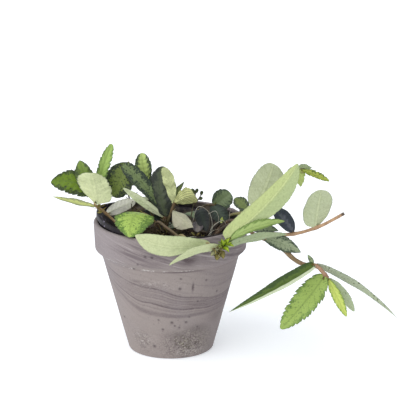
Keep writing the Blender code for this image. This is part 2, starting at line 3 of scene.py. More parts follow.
import bpy
import numpy as np
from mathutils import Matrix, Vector


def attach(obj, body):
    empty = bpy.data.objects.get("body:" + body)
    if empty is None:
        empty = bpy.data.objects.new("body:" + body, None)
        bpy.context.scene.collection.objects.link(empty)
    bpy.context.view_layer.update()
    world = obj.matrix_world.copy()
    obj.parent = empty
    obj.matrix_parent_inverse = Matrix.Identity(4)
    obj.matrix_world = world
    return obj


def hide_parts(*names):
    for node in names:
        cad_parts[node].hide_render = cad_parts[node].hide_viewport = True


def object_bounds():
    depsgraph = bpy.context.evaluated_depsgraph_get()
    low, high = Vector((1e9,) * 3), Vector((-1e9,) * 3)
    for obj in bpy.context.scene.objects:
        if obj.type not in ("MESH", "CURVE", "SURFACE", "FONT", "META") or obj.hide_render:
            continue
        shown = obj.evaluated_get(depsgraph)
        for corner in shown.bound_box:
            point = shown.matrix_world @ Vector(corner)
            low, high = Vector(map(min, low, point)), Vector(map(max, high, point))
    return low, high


# Potted pellionia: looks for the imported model. Lengths in the dictionaries are in millimetres.

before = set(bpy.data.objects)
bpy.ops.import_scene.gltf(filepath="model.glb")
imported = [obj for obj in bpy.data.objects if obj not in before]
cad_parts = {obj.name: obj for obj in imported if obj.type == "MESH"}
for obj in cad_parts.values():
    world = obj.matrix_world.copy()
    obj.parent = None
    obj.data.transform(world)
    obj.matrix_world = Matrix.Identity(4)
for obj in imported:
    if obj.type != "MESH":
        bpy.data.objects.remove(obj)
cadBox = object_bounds()
mm = 0.001
luck = np.random.default_rng(11)


def tint(red, green, blue):  # a colour as a picture shows it, from 0 to 255, made linear
    share = np.array([red, green, blue]) / 255
    curve = np.where(share < 0.04045, share / 12.92, ((share + 0.055) / 1.055) ** 2.4)
    return (*(float(c) for c in curve), 1.0)


def smoothStep(low, high, x):
    t = np.clip((x - low) / (high - low), 0, 1)
    return t * t * (3 - 2 * t)


# Camera, light and floor

view = {
    "target": (21.06, 0, 109.35),
    "distance": 1300,
    "pitch": 15.25,  # degrees down
    "lens": 163.87,
}


def placed(name, data):  # an object in the scene
    thing = bpy.data.objects.new(name, data)
    bpy.context.scene.collection.objects.link(thing)
    return thing


def aim(thing, place, target):
    thing.location = Vector(place) * mm
    thing.rotation_euler = ((Vector(target) - Vector(place)) * mm).to_track_quat("-Z", "Y").to_euler()


def addCamera():
    pitch = math.radians(view["pitch"])
    back = Vector((0, -math.cos(pitch), math.sin(pitch)))
    lens = bpy.data.cameras.new("camera")
    lens.lens = view["lens"]
    lens.sensor_width = 36
    lens.clip_end = 100
    camera = placed("camera", lens)
    aim(camera, Vector(view["target"]) + back * view["distance"], view["target"])
    bpy.context.scene.camera = camera


studio = {
    "sky": (0.95, 0.975, 1.0),
    "skyStrength": 0.74,
    "sunFrom": (-550, -520, 640),
    "sunStrength": 1.7,
    "sunWidth": 75,  # degrees, so its shadows are soft
    "sun": (1.0, 0.985, 0.96),
    "floor": (0.86, 0.875, 0.89),
    "glow": (0.9, 0.93, 1.0),  # a backlit sheet, which keeps the shadows faint
    "glowStrength": 0.36,
    "floorSize": 9000,
}


def addStudio():
    world = bpy.data.worlds.new("studio")
    world.use_nodes = True
    sky = world.node_tree.nodes["Background"]
    sky.inputs["Color"].default_value = (*studio["sky"], 1)
    sky.inputs["Strength"].default_value = studio["skyStrength"]
    bpy.context.scene.world = world
    sun = bpy.data.lights.new("sun", "SUN")
    sun.energy = studio["sunStrength"]
    sun.color = studio["sun"]
    sun.angle = math.radians(studio["sunWidth"])
    aim(placed("sun", sun), studio["sunFrom"], (0, 0, 0))
    bpy.context.scene.view_settings.view_transform = "Standard"
    half = studio["floorSize"] / 2 * mm
    corners = [(-half, -half, 0), (half, -half, 0), (half, half, 0), (-half, half, 0)]
    sheet = bpy.data.meshes.new("floor")
    sheet.from_pydata(corners, [], [(0, 1, 2, 3)])
    floor = placed("floor", sheet)
    paint, tree, shader = newMaterial("pale floor", 0.7, 0.2)
    shader.inputs["Base Color"].default_value = (*studio["floor"], 1)
    shader.inputs["Emission Color"].default_value = (*studio["glow"], 1)
    shader.inputs["Emission Strength"].default_value = studio["glowStrength"]
    sheet.materials.append(paint)


# Small helpers for materials


def newMaterial(name, roughness, specular):
    material = bpy.data.materials.new(name)
    material.use_nodes = True
    tree = material.node_tree
    shader = tree.nodes["Principled BSDF"]
    shader.inputs["Roughness"].default_value = roughness
    shader.inputs["Specular IOR Level"].default_value = specular
    return material, tree, shader


def add(kind, inputs=None, tree=None, **settings):
    # A node with its settings and inputs, in the tree given or else in that of its linked inputs.
    inputs = inputs or {}
    linked = {key: value for key, value in inputs.items() if isinstance(value, bpy.types.NodeSocket)}
    tree = tree or next(iter(linked.values())).id_data
    node = tree.nodes.new("ShaderNode" + kind)
    for key, value in settings.items():
        setattr(node, key, value)
    for key, value in inputs.items():
        if key in linked:
            tree.links.new(value, node.inputs[key])
        else:
            node.inputs[key].default_value = value
    return node


def objectPlace(tree):
    return add("TexCoord", tree=tree).outputs["Object"]


def attribute(tree, name, output="Color"):
    return add("Attribute", tree=tree, attribute_name=name).outputs[output]


def parts(vector):
    return add("SeparateXYZ", {0: vector}).outputs


def joined(*values):
    return add("CombineXYZ", dict(enumerate(values))).outputs[0]


def calc(operation, *values):
    return add("Math", dict(enumerate(values)), operation=operation).outputs[0]


def times(first, *others):
    for other in others:
        first = calc("MULTIPLY", first, other)
    return first


def plus(first, *others):
    for other in others:
        first = calc("ADD", first, other)
    return first


def ramp(value, low, high, start=0.0, end=1.0):  # a smooth step from low to high
    places = {"Value": value, "From Min": low, "From Max": high, "To Min": start, "To Max": end}
    return add("MapRange", places, interpolation_type="SMOOTHSTEP").outputs[0]


def mixed(factor, first, second, kind="MIX"):
    return add("Mix", {0: factor, 6: first, 7: second}, data_type="RGBA", blend_type=kind).outputs[2]


def over(colour, *layers):  # paints laid over a colour in turn, each with its share
    for share, paint in layers:
        colour = mixed(share, colour, tint(*paint))
    return colour


def noise(place, scale, detail=3, rough=0.5):
    settings = {"Vector": place, "Scale": scale, "Detail": detail, "Roughness": rough}
    return add("TexNoise", settings).outputs[0]


def coat(shader, colour, height, distance, strength):  # a shader's colour and its small bumps
    bump = add("Bump", {"Strength": strength, "Distance": distance, "Height": height})
    colour.id_data.links.new(colour, shader.inputs["Base Color"])
    colour.id_data.links.new(bump.outputs[0], shader.inputs["Normal"])


# Small helpers for meshes

hub = 0.6  # radius of a pot's smallest ring, which a point on the axis closes


def circle(count):  # even angles round a full turn
    return np.linspace(0, math.tau, count, endpoint=False)


def gridFaces(rows, columns, ringed=False, first=0):
    # Quads of a grid whose points run row by row; a ringed grid closes on itself across its columns.
    row = np.arange(rows - 1)[:, None]
    column = np.arange(columns if ringed else columns - 1)[None, :]
    a = first + row * columns + column
    b = first + row * columns + (column + 1) % columns
    return np.stack([a, a + columns, b + columns, b], -1).reshape(-1, 4)


def roundFaces(rows, columns):
    # A ringed grid with one point at each end, numbered after the grid, that closes it.
    around = np.arange(columns)
    onward = (around + 1) % columns
    last = (rows - 1) * columns
    start = np.stack([np.full(columns, rows * columns), around, onward], -1)
    end = np.stack([np.full(columns, rows * columns + 1), last + onward, last + around], -1)
    return gridFaces(rows, columns, ringed=True), np.concatenate([start, end])


def addPiece(name, points, faces, material, facts=None, sharp=40):
    mesh = bpy.data.meshes.new(name)
    quads, fans = faces
    mesh.from_pydata((points * mm).tolist(), [], quads.tolist() + fans.tolist())
    kinds = {1: ("FLOAT", "value"), 3: ("FLOAT_VECTOR", "vector"), 4: ("FLOAT_COLOR", "color")}
    for key, values in (facts or {}).items():
        kind, field = kinds[values.shape[1] if values.ndim == 2 else 1]
        values = values.astype(np.float32).ravel()
        mesh.attributes.new(key, kind, "POINT").data.foreach_set(field, values)
    mesh.materials.append(material)
    mesh.shade_smooth()
    mesh.set_sharp_from_angle(angle=math.radians(sharp))
    piece = placed(name, mesh)
    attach(piece, "root")
    return piece


def along(profile, spacing):
    # A profile's points, with more between them no further apart than the spacing.
    profile = np.array(profile, float)
    reach = np.concatenate([[0], np.cumsum(np.linalg.norm(np.diff(profile, axis=0), axis=1))])
    places = np.unique(np.concatenate([reach, np.arange(0, reach[-1], spacing)]))
    return np.stack([np.interp(places, reach, profile[:, k]) for k in (0, 1)], 1)


def bow(r, z, radius, start, end, steps=6):  # a rounded edge of a profile
    angle = np.radians(np.linspace(start, end, steps + 1))
    return list(zip(r + radius * np.cos(angle), z + radius * np.sin(angle)))


def ripples(x, y, z):  # uneven by hand: sines of three sizes, between about -1 and 1
    coarse = np.sin(x / 9.1 + z / 13 + 1) * np.cos(y / 8.3 - z / 17)
    middle = np.sin(x / 3.7 - y / 5.1 + z / 4.3)
    fine = np.sin(x / 1.9 + y / 1.5 - z / 2.3)
    return (coarse + 0.6 * middle + 0.3 * fine) / 1.9


def drilled(piece, places, radius, foot, top):
    # Cuts upright round holes, then keeps the result as the piece's own mesh.
    cutters = []
    for x, y in places:
        spot = (x * mm, y * mm, (top + foot) / 2 * mm)
        bpy.ops.mesh.primitive_cylinder_add(
            vertices=drain["sides"], radius=radius * mm, depth=(top - foot) * mm, location=spot
        )
        cutters.append(bpy.context.object)
        hole = piece.modifiers.new("hole", "BOOLEAN")
        hole.operation = "DIFFERENCE"
        hole.object = cutters[-1]
    graph = bpy.context.evaluated_depsgraph_get()
    mesh = bpy.data.meshes.new_from_object(piece.evaluated_get(graph))
    piece.modifiers.clear()
    piece.data = mesh
    for cutter in cutters:
        bpy.data.objects.remove(cutter)


# Clay pot

clay = {
    "turns": 420,
    "height": 95.0,
    "rimRadius": 55.0,
    "bandFoot": (54.3, 75.0),
    "bodyTop": (49.5, 71.0),
    "baseRadius": 31.0,
    "wall": 3.6,
    "floorRadius": 26.8,
    "floor": 7.0,
    "lipRound": 1.6,
    "bandRound": 1.2,
    "footRound": 2,
    "bowlRound": 3,
    "spacing": (2.4, 0.6, 3),  # between the profile's points: inside, outside and below
    "light": (143, 133, 129),
    "dark": (115, 104, 105),
    "line": (80, 68, 72),
    "pitSize": 0.72,
    "pits": [  # degrees from the front, height, size, depth
        (-18, 82.7, 1.4, 0.6), (-12.8, 82.4, 1.2, 0.6), (9.4, 65.3, 1.0, 0.5), (8.9, 57.4, 1.5, 0.3),
        (48.4, 50.7, 1.0, 0.5), (2, 30.1, 1.4, 0.7), (5, 27.5, 0.9, 0.5), (-12, 32, 0.9, 0.4),
        (-8, 24.5, 1.1, 0.4), (17, 30, 1.2, 0.4), (10, 26, 0.9, 0.4), (-30, 71.5, 1.2, 0.4),
        (33, 62, 1.0, 0.5), (-20, 10, 1.5, 0.4), (27, 46, 0.9, 0.4), (-24, 76.5, 0.9, 0.4),
        (20, 34, 0.8, 0.4), (31, 25, 0.8, 0.4), (160, 60, 1.4, 0.6), (120, 35, 1.2, 0.5),
        (-140, 50, 1.3, 0.6), (-100, 70, 1.0, 0.4), (90, 80, 1.2, 0.5), (-60, 28, 1.1, 0.5),
    ],
    "flowLow": [  # degrees from the front and height: the foot of the darker streak
        (-180, 44), (-120, 56), (-78, 57), (-56, 49.2), (-37, 40.8), (-19, 37.2), (3.5, 35.5), (31, 34.6),
        (54, 35.4), (90, 38), (130, 42), (180, 44),
    ],
    "flowHigh": [  # and its top
        (-180, 62), (-120, 70), (-78, 69), (-56, 64), (-32.5, 59.5), (-10, 56), (5, 51.8), (28.5, 48.6),
        (52, 46.9), (90, 50), (130, 58), (180, 62),
    ],
    "seams": [  # dark lines: place between the streak's foot, 0, and its top, 1, then width and strength
        (1.0, 0.06, 0.85), (0.37, 0.045, 0.8), (0.02, 0.16, 0.4), (0.86, 0.03, 0.45), (0.62, 0.03, 0.35),
        (0.22, 0.04, 0.35),
    ],
    "smudgesAndShadow": [  # degrees, height, half width in degrees, half height, strength
        (13.7, 81, 6.5, 4, 1.2), (27, 84, 4, 3, 0.5), (20.5, 58, 0.8, 3, 1.5), (10, 19, 14, 3.5, 0.5),
        (32, 23, 14, 4, 0.5), (56, 30, 14, 5, 0.35), (-30, 61.5, 6, 0.9, 0.5), (-23, 59, 7, 0.7, 0.5),
        # the first entry below is painted shadow: the dark line under the band's step; the rest are smears
        (9, 70.6, 18, 0.5, 1.1), (-10, 78, 9, 2, 0.3), (160, 70, 25, 10, 0.4), (-130, 30, 20, 8, 0.4),
    ],
    "chalk": [  # degrees, height, half width in degrees, half height, strength
        # the entries at 71 to 74 high are painted highlights along the band's lower edge, the rest pale
        # chalky patches
        (-26, 71.6, 14, 0.55, 1.3), (-9, 71.3, 7, 0.45, 1.1), (12, 71.5, 8, 0.4, 0.8),
        (-55, 74, 12, 0.8, 0.6), (-12, 60, 20, 3, 0.2), (-36, 14, 14, 6, 0.3), (25, 5, 25, 3, 0.35),
        (140, 72, 30, 1, 0.8), (-140, 71, 30, 1, 0.8),
    ],
    "grit": [(22, 11, 28, 10, 1.2), (-35, 12, 14, 8, 0.6), (150, 10, 40, 12, 0.8), (-130, 8, 40, 8, 0.6)],
}


def clayProfile():
    lip, foot, bowl = clay["lipRound"], clay["footRound"], clay["bowlRound"]
    top, floor, base = clay["height"], clay["floor"], clay["baseRadius"]
    corner = clay["floorRadius"] - bowl
    bandR, bandZ = clay["bandFoot"]
    band = clay["bandRound"]
    inside = [(hub, floor), (corner, floor)]
    inside += bow(corner, floor + bowl, bowl, -90, -15)
    inside += bow(clay["rimRadius"] - clay["wall"] + lip, top - lip, lip, 180, 90)
    outside = bow(clay["rimRadius"] - lip, top - lip, lip, 90, 0)
    outside += bow(bandR - band, bandZ + band, band, 0, -70)
    outside += [clay["bodyTop"]]
    outside += bow(base - foot, foot, foot, -15, -90)
    below = [(base - foot - 0.5, 0), (hub, 0)]
    return np.vstack([along(*pair) for pair in zip((inside, outside, below), clay["spacing"])])


def patches(kind, front, z):  # soft oval spots, the strongest of them at each place
    depth = np.zeros_like(z)
    for middle, height, spread, tall, strength in clay[kind]:
        off = ((front - middle) / spread) ** 2 + ((z - height) / tall) ** 2
        depth = np.maximum(depth, strength * np.exp(-off))
    return depth


def flowHeight(kind, front):  # a smooth curve through the streak's points
    curve = smoothPath(clay[kind], 10)
    return np.interp(front, curve[:, 0], curve[:, 1])


def addClayPot():
    # A profile turned round Z. Throwing lines, low ripples and round dents change its radius.
    profile = clayProfile()
    turns = clay["turns"]
    angle = circle(turns)[None, :]
    r, z = profile[:, :1], profile[:, 1:] + 0 * angle
    front = np.degrees((angle + math.pi / 2 + math.pi) % math.tau - math.pi)  # degrees from the front
    outside = (np.arange(len(profile)) > np.argmax(profile[:, 1]))[:, None] & (z > 1.5)
    low = flowHeight("flowLow", front)
    flow = (z - low) / (flowHeight("flowHigh", front) - low)
    stain = patches("smudgesAndShadow", front, z)
    grit, chalk = patches("grit", front, z), patches("chalk", front, z)
    pit = np.zeros_like(z)
    dent = np.zeros_like(z)
    for middle, height, size, depth in clay["pits"]:
        size *= clay["pitSize"]
        off = (np.radians(front - middle) * r / size) ** 2 + ((z - height) / size) ** 2
        pit = np.maximum(pit, np.exp(-off))
        dent += depth * np.exp(-(off**1.5))
    x, y = r * np.cos(angle), r * np.sin(angle)
    throwing = 0.05 * np.sin(z * 3.1 + 0.8 * np.sin(angle * 2)) * (0.5 + 0.5 * np.sin(z / 4 + angle))
    ridge = 0.12 * np.exp(-(((z - 70.2) / 0.5) ** 2)) * (1 + np.sin(front / 7))
    move = np.where(outside, throwing + 0.1 * ripples(x, y, z) + ridge - dent, 0)
    points = np.stack([(r + move) * np.cos(angle), (r + move) * np.sin(angle), z], -1).reshape(-1, 3)
    points = np.vstack([points, [(0, 0, clay["floor"]), (0, 0, 0)]])
    marks = np.stack([stain, grit, pit, chalk], -1).reshape(-1, 4)
    facts = {"marks": np.vstack([marks, np.zeros((2, 4))]), "flow": np.append(flow.ravel(), [0, 0])}
    pot = addPiece("clayPot", points, roundFaces(len(profile), turns), clayMaterial(), facts, sharp=60)
    drilled(pot, drainPlaces(0), drain["radius"], -2, clay["floor"] + 2)
    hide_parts("clay_pot")


drain = {"holes": 3, "radius": 3.5, "circle": 13.0, "sides": 40}


def drainPlaces(middle):
    angle = math.tau * (np.arange(drain["holes"]) + 0.5) / drain["holes"]
    return np.stack([middle + drain["circle"] * np.cos(angle), drain["circle"] * np.sin(angle)], 1).tolist()


def clayMaterial():
    material, tree, shader = newMaterial("marbled clay", 0.86, 0.25)
    place = objectPlace(tree)
    x, y, z = parts(place)
    stained, gritted, pitted = parts(attribute(tree, "marks", "Vector"))
    chalked = attribute(tree, "marks", "Alpha")
    cloud = noise(place, 35)
    grain = noise(place, 900, 4, 0.7)
    dust = noise(place, 3200, 2, 0.6)
    # The streak: soft dark layers, crisp seams, and thin lines that crowd together on the right
    warp = times(calc("SUBTRACT", noise(place, 45), 0.5), 0.22)
    flow = plus(attribute(tree, "flow", "Fac"), warp)
    streak = noise(joined(times(x, 9), times(y, 9), times(flow, 5)), 1, 5, 0.65)
    zone = times(ramp(flow, -0.08, 0.1), ramp(flow, 1.08, 0.9))
    crowd = times(ramp(x, -0.025, 0.012, 0.3, 1), ramp(flow, 0.15, 0.4, 0.2, 1))
    contour = calc("PINGPONG", times(streak, 6), 0.5)
    thin = times(ramp(contour, 0.2, 0.04), crowd, zone)
    vague = times(ramp(streak, 0.44, 0.68, 0, 0.55), ramp(flow, -0.7, -0.1, 0.25, 1))
    fill = times(zone, ramp(streak, 0.35, 0.6, 0.15, 0.6), ramp(x, -0.02, 0.012, 0.4, 1))
    colour = mixed(vague, tint(*clay["light"]), tint(*clay["dark"]))
    colour = over(colour, (fill, clay["dark"]), (times(thin, 0.65), clay["line"]))
    broken = ramp(cloud, 0.32, 0.55, 0.35, 1)
    for at, width, strength in clay["seams"]:
        off = calc("ABSOLUTE", calc("SUBTRACT", flow, at))
        colour = over(colour, (times(ramp(off, width, 0.0, 0, strength), broken), clay["line"]))
    # Brush strokes that run down to the right across the band
    slope = calc("MULTIPLY_ADD", z, 520, times(x, 150))
    stroke = noise(joined(times(x, 30), times(y, 30), slope), 1, 4, 0.6)
    band = times(ramp(z, 0.073, 0.077), ramp(x, -0.052, -0.025, 0.25, 1))
    # Grit with dark and pale specks and some moss, pale chalky flakes with painted highlights along the
    # band's lower edge, pits darkened with painted shade, and single dark specks
    cells = add("TexVoronoi", {"Vector": place, "Scale": 1150}).outputs["Color"]
    speck = add("SeparateColor", {0: cells}).outputs
    gritty = times(gritted, ramp(noise(place, 420, 4, 0.8), 0.36, 0.54))
    flaked = times(ramp(grain, 0.43, 0.6), ramp(noise(place, 260), 0.4, 0.55))
    single = times(ramp(speck[2], 0.965, 0.99), ramp(dust, 0.4, 0.6))
    colour = over(
        colour,
        (ramp(cloud, 0.45, 0.7, 0, 0.35), (134, 126, 127)),
        # painted shade: the pot's right side, away from the sun, darkened
        (ramp(x, 0.008, 0.046, 0, 0.4), (112, 100, 106)),
        (ramp(z, 0.071, 0.079, 0, 0.5), (124, 115, 119)),
        # painted sheen: the pot's left side lightened with a cool, pale reflection
        (ramp(x, -0.02, -0.05, 0, 0.3), (154, 148, 154)),
        # dark smears, and among them the painted shadow under the band's step
        (times(stained, ramp(grain, 0.25, 0.6, 0.55, 1.1)), clay["line"]),
        (ramp(grain, 0.35, 0.75, 0, 0.2), (172, 164, 158)),
        (times(band, ramp(stroke, 0.5, 0.66, 0, 0.7)), (98, 88, 92)),
        (times(band, ramp(stroke, 0.46, 0.32, 0, 0.55)), (176, 168, 168)),
        (times(gritted, 0.25), (108, 98, 98)),
        (times(gritty, ramp(speck[0], 0.35, 0.5), 0.75), (76, 66, 66)),
        (times(gritty, ramp(speck[1], 0.82, 0.92), 0.7), (172, 164, 154)),
        (times(gritty, ramp(cloud, 0.52, 0.66, 0, 0.2)), (118, 118, 86)),
        # pale chalky flakes, and painted highlights along the band's lower edge
        (times(chalked, flaked), (212, 207, 202)),
        # painted shade in the hollows of the pits
        (times(pitted, 0.85), (66, 56, 62)),
        (times(single, 0.6), (104, 92, 92)),
    )
    coat(shader, colour, plus(times(streak, 0.5), plus(grain, dust)), 0.00025, 0.35)
    return material


# Nursery pot

liner = {
    "turns": 220,
    "spacing": 1.2,
    "height": 88.0,
    "lipRadius": 50.5,
    "lipDrop": 5.0,
    "topRadius": 49.2,
    "baseRadius": 22.0,
    "wall": 1.2,
    "lean": 2.0,  # degrees
    "baseX": -3.5,
    "gap": 0.3,
    "rise": 4.0,
    "spring": 2.2,
}


def leant(points):
    # Stands points on the nursery pot's leaning axis.
    lean = math.radians(liner["lean"])
    x, y, z = points[:, 0], points[:, 1], points[:, 2]
    foot = clay["floor"] + liner["gap"] + liner["baseRadius"] * math.sin(lean)
    across = x * math.cos(lean) + z * math.sin(lean) + liner["baseX"]
    upward = z * math.cos(lean) - x * math.sin(lean) + foot
    return np.stack([across, y, upward], 1)


def addNurseryPot():
    # A thin profile turned round a leaning axis. Its lip is pulled up and out on the left.
    wall, lip, top = liner["wall"], liner["lipRadius"], liner["height"]
    drop = top - liner["lipDrop"]
    base = liner["baseRadius"]
    slope = (liner["topRadius"] - base) / drop
    profile = [(hub, wall), (base - wall, wall), (liner["topRadius"] - wall - slope * wall, drop - wall)]
    profile += [(lip - wall, drop + 0.2)]
    profile += bow(lip - wall / 2, top - wall / 2, wall / 2, 180, 0)
    profile += [(lip, drop + wall), (liner["topRadius"], drop), (base, 0.8), (base - 0.8, 0), (hub, 0)]
    profile = along(profile, liner["spacing"])
    turns = liner["turns"]
    angle = circle(turns)[None, :]
    r, z = profile[:, :1], profile[:, 1:]
    share = np.where(z > drop - 2 * wall, np.clip(-np.cos(angle), 0, 1) ** 3, 0)
    inside = (np.arange(len(profile)) < np.argmax(profile[:, 1]))[:, None] & (z > 2)
    wobble = np.where(inside, -0.12 * (1 + np.sin(z / 1.3 + 0.4 * np.sin(3 * angle))) * (z < drop - 4), 0)
    reach = r + liner["spring"] * share + wobble
    points = np.stack([reach * np.cos(angle), reach * np.sin(angle), z + liner["rise"] * share], -1)
    points = leant(np.vstack([points.reshape(-1, 3), [(0, 0, wall), (0, 0, 0)]]))
    pot = addPiece("nurseryPot", points, roundFaces(len(profile), turns), plasticMaterial(), sharp=50)
    drilled(pot, drainPlaces(liner["baseX"]), drain["radius"], clay["floor"] - 2, clay["floor"] + 5)
    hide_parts("nursery_pot")


def plasticMaterial():
    material, tree, shader = newMaterial("black plastic", 0.32, 0.15)
    place = objectPlace(tree)
    x, y, height = parts(place)
    smear = noise(place, 90, 5, 0.65)
    back = times(ramp(y, 0.0, 0.035, 0, 0.95), ramp(height, 0.097, 0.092))
    low = calc("MAXIMUM", ramp(height, 0.1, 0.074, 0.1, 0.95), back)
    dusty = times(low, ramp(smear, 0.36, 0.62))
    # painted highlight: patches of pale violet reflection on the upper left of the lip
    drops = ramp(noise(place, 150, 2), 0.6, 0.66, 0, 0.6)
    colour = over(
        mixed(dusty, tint(24, 20, 29), tint(100, 92, 82)),
        (times(drops, ramp(x, -0.02, -0.035), ramp(height, 0.07, 0.082)), (128, 120, 140)),
        (ramp(noise(place, 900, 2), 0.66, 0.72, 0, 0.8), (70, 58, 44)),
    )
    tree.links.new(calc("MULTIPLY_ADD", dusty, 0.4, 0.42), shader.inputs["Roughness"])
    coat(shader, colour, smear, 0.0003, 0.25)
    return material


# Potting mix

mix = {
    "turns": 200,
    "rings": 70,
    "hub": 0.4,
    "top": 68.5,
    "crown": 2.5,
    "ripple": 0.9,
    "rippleSize": 2.8,
    "crumbs": 900,
    "crumbSize": (0.5, 1.7),
    "crumbSides": 7,
}


def mixEdge():
    slope = (liner["topRadius"] - liner["baseRadius"]) / (liner["height"] - liner["lipDrop"])
    inner = liner["baseRadius"] - liner["wall"] - liner["gap"] + slope * (mix["top"] - liner["wall"])
    return inner - slope * liner["wall"]


def mixHeight(x, y):
    # A low crown with ripples, rougher in the middle than at the wall.
    edge = mixEdge()
    out = np.clip(np.hypot(x, y) / edge, 0, 1)
    size = mix["rippleSize"]
    wave = np.sin(x / size + 1) * np.cos(y / size) + np.sin((x / 2 - y) / size)
    rough = 0.7 * ripples(1.7 * x, 1.9 * y, x - y)
    uneven = (mix["ripple"] * wave * 0.7 + rough) * np.clip(4 - 4 * out, 0, 1)
    return mix["top"] + mix["crown"] * (1 - out**2) + uneven


def addMix():
    edge, foot = mixEdge(), liner["baseRadius"] - liner["wall"] - liner["gap"]
    floor = liner["wall"] + liner["gap"]
    turns, rings = mix["turns"], mix["rings"]
    angle = circle(turns)[None, :]
    r = np.linspace(mix["hub"], edge, rings)[:, None]
    x, y = r * np.cos(angle), r * np.sin(angle)
    top = np.stack([x, y, mixHeight(x, y)], -1)
    wall = np.stack([foot * np.cos(angle), foot * np.sin(angle), floor + 0 * angle], -1)
    points = np.concatenate([top, wall]).reshape(-1, 3)
    points = np.vstack([points, [(0, 0, float(mixHeight(np.zeros(1), np.zeros(1))[0])), (0, 0, floor)]])
    soil = peatMaterial()
    bed = addPiece("peatBed", leant(points), roundFaces(rings + 1, turns), soil, sharp=60)
    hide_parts("potting_mix")
    addCrumbs(soil, edge)


def addCrumbs(soil, edge):
    # Lumps of peat: one ball of rings, scaled, turned and placed for every crumb by whole arrays.
    count = mix["crumbs"]
    low, high = mix["crumbSize"]
    rise = np.radians([-55, -18, 18, 55])[:, None]
    turn = circle(mix["crumbSides"])[None, :]
    ball = np.stack([np.cos(rise) * np.cos(turn), np.cos(rise) * np.sin(turn), np.sin(rise) + 0 * turn], -1)
    ball = np.vstack([ball.reshape(-1, 3), [(0, 0, -1), (0, 0, 1)]])
    size = low + (high - low) * luck.random(count) ** 2.5
    shape = size[:, None, None] * luck.uniform(0.6, 1.15, (count, len(ball), 1)) * ball
    shape *= luck.uniform(0.6, 1.3, (count, 1, 3))
    spin = np.linalg.qr(luck.normal(size=(count, 3, 3)))[0]
    spin *= np.linalg.det(spin)[:, None, None]
    shape = shape @ spin
    reach = (edge - high) * np.sqrt(luck.random(count))
    angle = luck.uniform(0, math.tau, count)
    x, y = reach * np.cos(angle), reach * np.sin(angle)
    shape += np.stack([x, y, mixHeight(x, y) + 0.15 * size], -1)[:, None, :]
    starts = (np.arange(count) * len(ball))[:, None, None]
    faces = [(kind + starts).reshape(-1, kind.shape[1]) for kind in roundFaces(len(rise), mix["crumbSides"])]
    crumbs = addPiece("peatCrumbs", leant(shape.reshape(-1, 3)), faces, soil, sharp=80)


def peatMaterial():
    material, tree, shader = newMaterial("peat", 0.95, 0.15)
    place = objectPlace(tree)
    lumps = noise(place, 240, 4, 0.65)
    fine = noise(place, 1500, 3, 0.7)
    colour = over(
        mixed(ramp(lumps, 0.35, 0.65), tint(38, 31, 27), tint(74, 60, 48)),
        (ramp(fine, 0.6, 0.75, 0, 0.7), (116, 96, 72)),
        (ramp(noise(place, 60, 2), 0.55, 0.7, 0, 0.5), (70, 72, 40)),
    )
    coat(shader, colour, plus(lumps, fine), 0.0006, 0.7)
    return material


# Leaves. A look is: centre and margin of the upper side, how far the centre reaches, the lower
# side, its rim, then how strong the flecks and the veins are.

